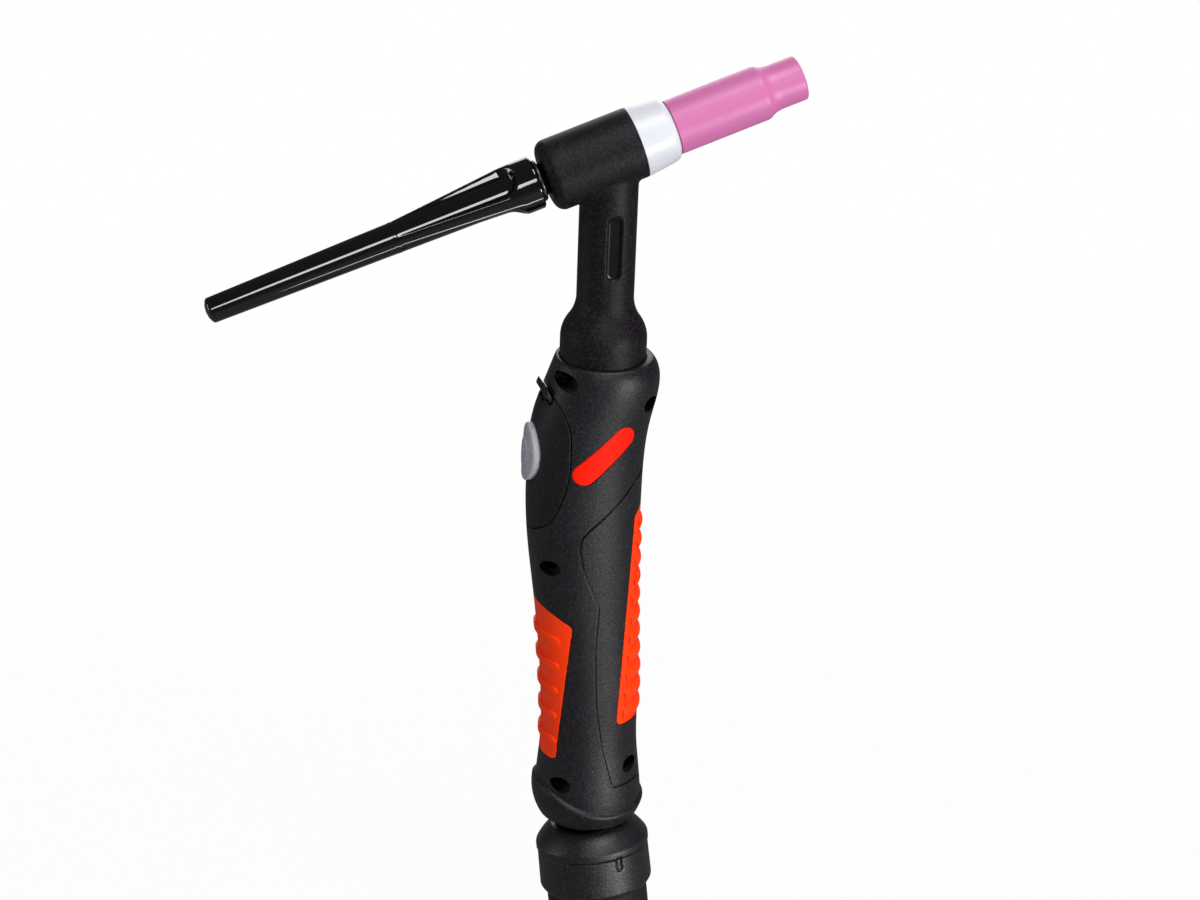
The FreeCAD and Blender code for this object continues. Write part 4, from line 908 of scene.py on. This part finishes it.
@dataclass(frozen=True)
class BackCap:
    """The long cap, with three ridges between flutes that end in arches at the collar."""

    axis: HeadAxis = HeadAxis()
    tail: float = -142.7
    tail_radius: float = 4.3
    tail_dome: float = 1.1
    dome_points: tuple[Span, Span] = ((0.5, 0.25), (0.88, 0.94))
    dome_round: float = 0.3
    shoulder_length: float = 0.5
    shoulder_round: float = 0.4
    tube_front: float = -30.1
    tube_radius: float = 6.0
    collar_front: float = -26.5
    collar_radius: float = 9.0
    collar_length: float = 7.2
    collar_chamfer: float = 0.45
    ridges: int = 3
    ridge_width: float = 4.6
    ridge_length: float = 42.3
    ridge_end_radius: float = 5.3
    flute_turn: float = 94.9
    arch_radius: float = 6.4
    arch_top: float = 7.2
    arch_ease: float = 0.4
    least_lean: float = 0.01
    carve_margin: float = 2.0
    eased_rounds: int = 10
    ease_margin: float = 1.0
    fine_pitch: float = 0.3
    fine_steps: int = 360
    neck_radius: float = 5.4
    inner_end: float = -8.3
    bore: float = 2.0
    end_wall: float = 5.0

    def build(self) -> None:
        """Turn the cap, carve its flutes and put it on the head."""
        ridge_rear = self.collar_front - self.collar_length - self.ridge_length
        rear = ridge_rear - self.carve_margin
        edge = self.collar_front - self.collar_chamfer
        shoulder = self.tail + self.tail_dome
        bottom = self.tail + self.end_wall
        dome = [(self.tail_radius * out, self.tail + self.tail_dome * up)
                for out, up in self.dome_points]
        blank = Lathe([
            (0.0, self.tail), *dome, (self.tail_radius, shoulder + self.shoulder_length),
            (self.tube_at(rear), rear), (self.collar_radius, edge),
            (self.collar_radius - self.collar_chamfer, self.collar_front),
            (self.neck_radius, self.collar_front), (self.neck_radius, self.inner_end),
            (self.bore, self.inner_end), (self.bore, bottom), (0.0, bottom),
        ], closed=False)
        blank.round(2, self.dome_round)
        blank.round(3, self.shoulder_round)
        blank.divide(4, int((edge - rear) / self.fine_pitch))
        shape = blank.spin(self.fine_steps)
        self.carve(shape, rear, edge)
        shape.transform(self.axis.matrix())
        evenly_shaded(place(shape, "back_cap", Finishes.CAP))

    def tube_at(self, station: float) -> float:
        """Radius of the tapered tube at a station."""
        start = self.tail + self.tail_dome
        share = (station - start) / (self.tube_front - start)
        return self.tail_radius + (self.tube_radius - self.tail_radius) * share

    def ridge_at(self, station: float) -> float:
        """Radius of the ridges' crest at a station."""
        share = (station - (self.collar_front - self.collar_length)) / self.ridge_length + 1.0
        rise = self.ridge_end_radius + (self.collar_radius - self.ridge_end_radius) * share
        return min(max(rise, self.tube_at(station)), self.collar_radius)

    def radius_at(self, turn: float, station: float) -> float:
        """Radius of the cap's surface.

        Args:
            turn: Angle round the axis, in radians.
            station: Place along the axis.

        Returns:
            The radius there: the crest's on a ridge, the tube's in a flute.
        """
        half = math.pi / self.ridges
        turn = abs((turn - math.radians(self.flute_turn) + half) % (2 * half) - half)
        crest = self.ridge_at(station)
        lean = math.cos(turn + math.pi / 2 - half)
        wall = self.ridge_width / 2 / max(lean, self.least_lean)
        flute = max(self.tube_at(station), min(crest, wall))
        arch = self.collar_front - self.arch_top - self.arch_radius
        if station < arch:
            return flute
        past = math.hypot(crest * math.sin(turn), station - arch) - self.arch_radius
        share = min(max((past + self.arch_ease) / (2 * self.arch_ease), 0.0), 1.0)
        return flute + (crest - flute) * share

    def carve(self, shape: bmesh.types.BMesh, rear: float, front: float) -> None:
        """Move the turned blank's points onto the ridged surface.

        Args:
            shape: The blank, on its own axis.
            rear: Station where the carving starts.
            front: Station where it ends.
        """
        skin = [point for point in shape.verts if rear <= point.co.z / MM <= front
                and math.hypot(point.co.x, point.co.y) > self.neck_radius * MM]
        for point in skin:
            radius = self.radius_at(math.atan2(point.co.y, point.co.x), point.co.z / MM) * MM
            along = radius / math.hypot(point.co.x, point.co.y)
            point.co.x *= along
            point.co.y *= along
        low, high = rear + self.ease_margin, front - self.ease_margin
        inner = [point for point in skin if low < point.co.z / MM < high]
        ease(shape, inner, self.eased_rounds)


@dataclass(frozen=True)
class HandPieces:
    """Mouldings and soft parts whose edges are eased in their mesh."""

    finest: float = 0.154 * MM
    fine: float = 0.22 * MM
    middle: float = 0.33 * MM
    broad: float = 0.44 * MM

    def build(self) -> None:
        """Make every eased piece."""
        for piece in self.pieces():
            piece.build()

    def pieces(self) -> list[Softened]:
        """The eased pieces, each with the pitch of its mesh."""
        eased = [
            Softened("head_cover", Finishes.COVER, self.broad, rounds=1),
            Softened("trigger_module", Finishes.MODULE, self.middle, rounds=2),
            Softened("module_latch", Finishes.MODULE, self.fine),
            Softened("trigger_button", Finishes.BUTTON, self.finest, rounds=2),
            Softened("handle_screws", Finishes.SCREW, self.finest, rounds=2),
            Softened("knuckle_dome", Finishes.KNUCKLE, self.broad),
            Softened("knuckle_ring", Finishes.KNUCKLE, self.broad, rounds=1),
            Softened("rear_sleeve", Finishes.RUBBER, self.broad),
        ]
        for side in ("right", "left"):
            eased.append(Softened("label_plate_" + side, Finishes.LABEL, self.fine, rounds=2))
            eased.append(Softened("front_grip_" + side, Finishes.GRIP, self.fine, rounds=2))
            eased.append(Softened("rear_grip_" + side, Finishes.GRIP, self.fine, rounds=5))
        return eased


@dataclass(frozen=True)
class PressedSpring:
    """The spring behind the trigger's button; the real one shortens as the button is pressed,
    this copy does not.
    """

    node: str = "return_spring"
    joint: str = "trigger_press"
    travel: float = 1.5 * MM

    def build(self) -> None:
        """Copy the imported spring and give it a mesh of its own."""
        shape = packed_copy(self.node)
        spring = place(shape, self.node, Finishes.SPRING)
        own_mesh(spring)


class Wardrobe:
    """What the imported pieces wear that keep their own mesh."""

    def worn_by(self) -> dict[str, Finish]:
        """The finish of each node, by name."""
        wear = Finishes
        return {
            "head_core": wear.BRASS, "power_stud": wear.BRASS, "neck_tube": wear.COPPER,
            "collet_body": wear.COPPER, "collet": wear.COPPER, "electrode": wear.TUNGSTEN,
            "cap_o_ring": wear.SEAL, "handle_right": wear.SHELL, "handle_left": wear.SHELL,
            "switch_board": wear.BOARD, "board_screws": wear.SPRING,
            "switch_body": wear.SWITCH, "switch_plunger": wear.PLUNGER,
            "terminal_block": wear.TERMINAL, "control_leads": wear.LEAD,
            "lead_connector": wear.CONNECTOR, "ball_seat_ring": wear.SEAT,
            "knuckle_ball": wear.KNUCKLE, "lock_nut": wear.KNUCKLE,
        }

    def dress(self) -> None:
        """Put each node's finish in its material slots."""
        for name, finish in self.worn_by().items():
            for slot in frame["nodes"][name].material_slots:
                slot.material = finish.material()
            LOG.info("dressed %s in %s", name, finish.slot)


@dataclass
class SoftBox:
    """A rectangular lamp with a soft front."""

    name: str
    place: tuple[float, float, float]
    target: tuple[float, float, float]
    size: tuple[float, float]
    power: float

    def build(self) -> None:
        """Hang the lamp and aim it."""
        lamp = bpy.data.lights.new(self.name, "AREA")
        lamp.shape = "RECTANGLE"
        lamp.size, lamp.size_y = self.size
        lamp.energy = self.power
        hung = bpy.data.objects.new(self.name, lamp)
        bpy.context.scene.collection.objects.link(hung)
        hung.location = self.place
        aim = Vector(self.target) - Vector(self.place)
        hung.rotation_euler = aim.to_track_quat("-Z", "Y").to_euler()
        hung.visible_camera = False


@dataclass
class Studio:
    """Camera, lamps, floor and background."""

    focal: float = 81.0
    focal_pixels: float = 2700.0
    frame_pixels: tuple[float, float] = (1200.0, 900.0)
    azimuth: float = 16.0
    elevation: float = 24.0
    roll: float = 2.2
    head_point: tuple[float, float, float] = (0.0, 0.0, 0.160)
    head_pixel: tuple[float, float] = (610.6, 152.2)
    pixels_per_mm: float = 3.03
    nearest_seen: float = 10 * MM
    floor_half: float = 3.0
    floor_cloud: float = 0.35
    floor_drift: float = 0.97
    floor_roughness: float = 0.8
    floor_tone: Colour = (0.45, 0.45, 0.45)
    floor_gloss_tone: Colour = (0.10, 0.10, 0.10)
    floor_white: float = 0.97
    white_from: float = 0.25
    white_at: float = 0.9
    room_level: float = 0.30
    gloss_level: float = 0.08
    boxes: list[SoftBox] = field(default_factory=lambda: [
        SoftBox("key_front", (-0.215, -0.955, 0.66), (-0.08, 0.0, 0.13), (0.34, 0.26), 2.4),
        SoftBox("key_right", (0.56, -0.88, -0.04), (0.0, 0.0, 0.0), (0.24, 0.18), 6.6),
        SoftBox("rim_left", (-0.85, 0.15, 0.10), (0.0, 0.0, 0.0), (0.12, 0.5), 0.9),
        SoftBox("low_front", (0.05, -0.22, -0.13), (-0.06, 0.0, 0.12), (0.16, 0.025), 0.09),
        SoftBox("top", (0.12, -0.30, 1.0), (0.0, 0.0, 0.05), (0.34, 0.34), 5.4),
        SoftBox("back", (0.25, 0.85, 0.35), (0.0, 0.0, 0.0), (0.6, 0.7), 3.0),
    ])

    def build(self) -> None:
        """Set the whole studio up."""
        self._camera()
        self._floor()
        self._world()
        for box in self.boxes:
            box.build()
        bpy.context.scene.view_settings.view_transform = "Standard"

    def _camera(self) -> None:
        """Stand the camera where the picture was taken from."""
        turn, rise, roll = (math.radians(v) for v in (self.azimuth, self.elevation, self.roll))
        ahead = Vector((math.sin(turn) * math.cos(rise), math.cos(turn) * math.cos(rise),
                        -math.sin(rise)))
        level = Vector((math.cos(turn), -math.sin(turn), 0.0))
        above = level.cross(ahead)
        right = level * math.cos(roll) + above * math.sin(roll)
        up = above * math.cos(roll) - level * math.sin(roll)
        depth = self.focal_pixels / self.pixels_per_mm * MM
        across = (self.head_pixel[0] - self.frame_pixels[0] / 2) / self.focal_pixels
        upward = (self.frame_pixels[1] / 2 - self.head_pixel[1]) / self.focal_pixels
        stand = Vector(self.head_point) - depth * (ahead + across * right + upward * up)
        camera = bpy.data.cameras.new("camera")
        camera.lens = self.focal
        camera.sensor_width = self.focal * self.frame_pixels[0] / self.focal_pixels
        camera.clip_start = self.nearest_seen
        held = bpy.data.objects.new("camera", camera)
        bpy.context.scene.collection.objects.link(held)
        turned = Matrix((right, up, -ahead)).transposed().to_4x4()
        held.matrix_world = Matrix.Translation(stand) @ turned
        bpy.context.scene.camera = held

    def _floor(self) -> None:
        """Lay the pale floor under the torch's lowest point."""
        mesh = bpy.data.meshes.new("floor")
        low = CAD_BOX[0].z
        half = self.floor_half
        corners = [(-half, -half, low), (half, -half, low), (half, half, low),
                   (-half, half, low)]
        mesh.from_pydata(corners, [], [(0, 1, 2, 3)])
        floor = bpy.data.objects.new("floor", mesh)
        bpy.context.scene.collection.objects.link(floor)
        recipe = MaterialRecipe("floor_pale")
        cloud = recipe.noise(self.floor_cloud, detail=2.0)
        dark = tuple(channel * self.floor_drift for channel in self.floor_tone)
        tone = recipe.mix(cloud, rgba(self.floor_tone), rgba(dark))
        path = recipe.node("ShaderNodeLightPath", {}, {})
        gloss = recipe.value(path, "Is Glossy Ray")
        colour = recipe.mix(gloss, tone, rgba(self.floor_gloss_tone))
        mesh.materials.append(recipe.finish(base_color=colour, roughness=self.floor_roughness))
        self._white_to_camera(recipe)

    def _white_to_camera(self, recipe: MaterialRecipe) -> None:
        """Let the camera see the floor as white with a soft shadow near the torch."""
        white = recipe.node("ShaderNodeEmission", {}, {"Color": WHITE, "Strength": 1.0})
        offset = recipe.node("ShaderNodeVectorMath", {"operation": "LENGTH"},
                             {0: recipe.place()})
        away = recipe.value(offset, "Value").between(self.white_from, self.white_at)
        cover = self.floor_white + away * (1.0 - self.floor_white)
        mixed = recipe.node("ShaderNodeMixShader", {}, {
            0: self._seen(recipe) * cover, 1: recipe.value(recipe.shader),
            2: recipe.value(white),
        })
        output = recipe.tree.nodes["Material Output"]
        recipe.feed(output.inputs["Surface"], recipe.value(mixed))

    def _seen(self, recipe: Recipe) -> Value:
        """How far a ray sees the white background: gloss sees it dimmed, as in a dark room."""
        path = recipe.node("ShaderNodeLightPath", {}, {})
        straight = recipe.value(path, "Is Camera Ray")
        straight = straight + recipe.value(path, "Is Transmission Ray")
        return straight + recipe.value(path, "Is Glossy Ray") * self.gloss_level

    def _world(self) -> None:
        """A soft grey room that the camera sees as white."""
        world = bpy.data.worlds.new("room")
        bpy.context.scene.world = world
        world.use_nodes = True
        recipe = Recipe(world.node_tree)
        path = recipe.node("ShaderNodeLightPath", {}, {})
        spread = recipe.value(path, "Is Diffuse Ray") * self.room_level
        background = world.node_tree.nodes["Background"]
        recipe.feed(background.inputs["Color"], WHITE)
        recipe.feed(background.inputs["Strength"], self._seen(recipe) + spread)


def main() -> None:
    """Dress the torch and set up the studio."""
    logging.basicConfig(level=logging.INFO, format="%(name)s: %(message)s")
    Studio().build()
    Consumables().build()
    BackCap().build()
    HandPieces().build()
    PressedSpring().build()
    Wardrobe().dress()


if __name__ == "__main__":
    main()
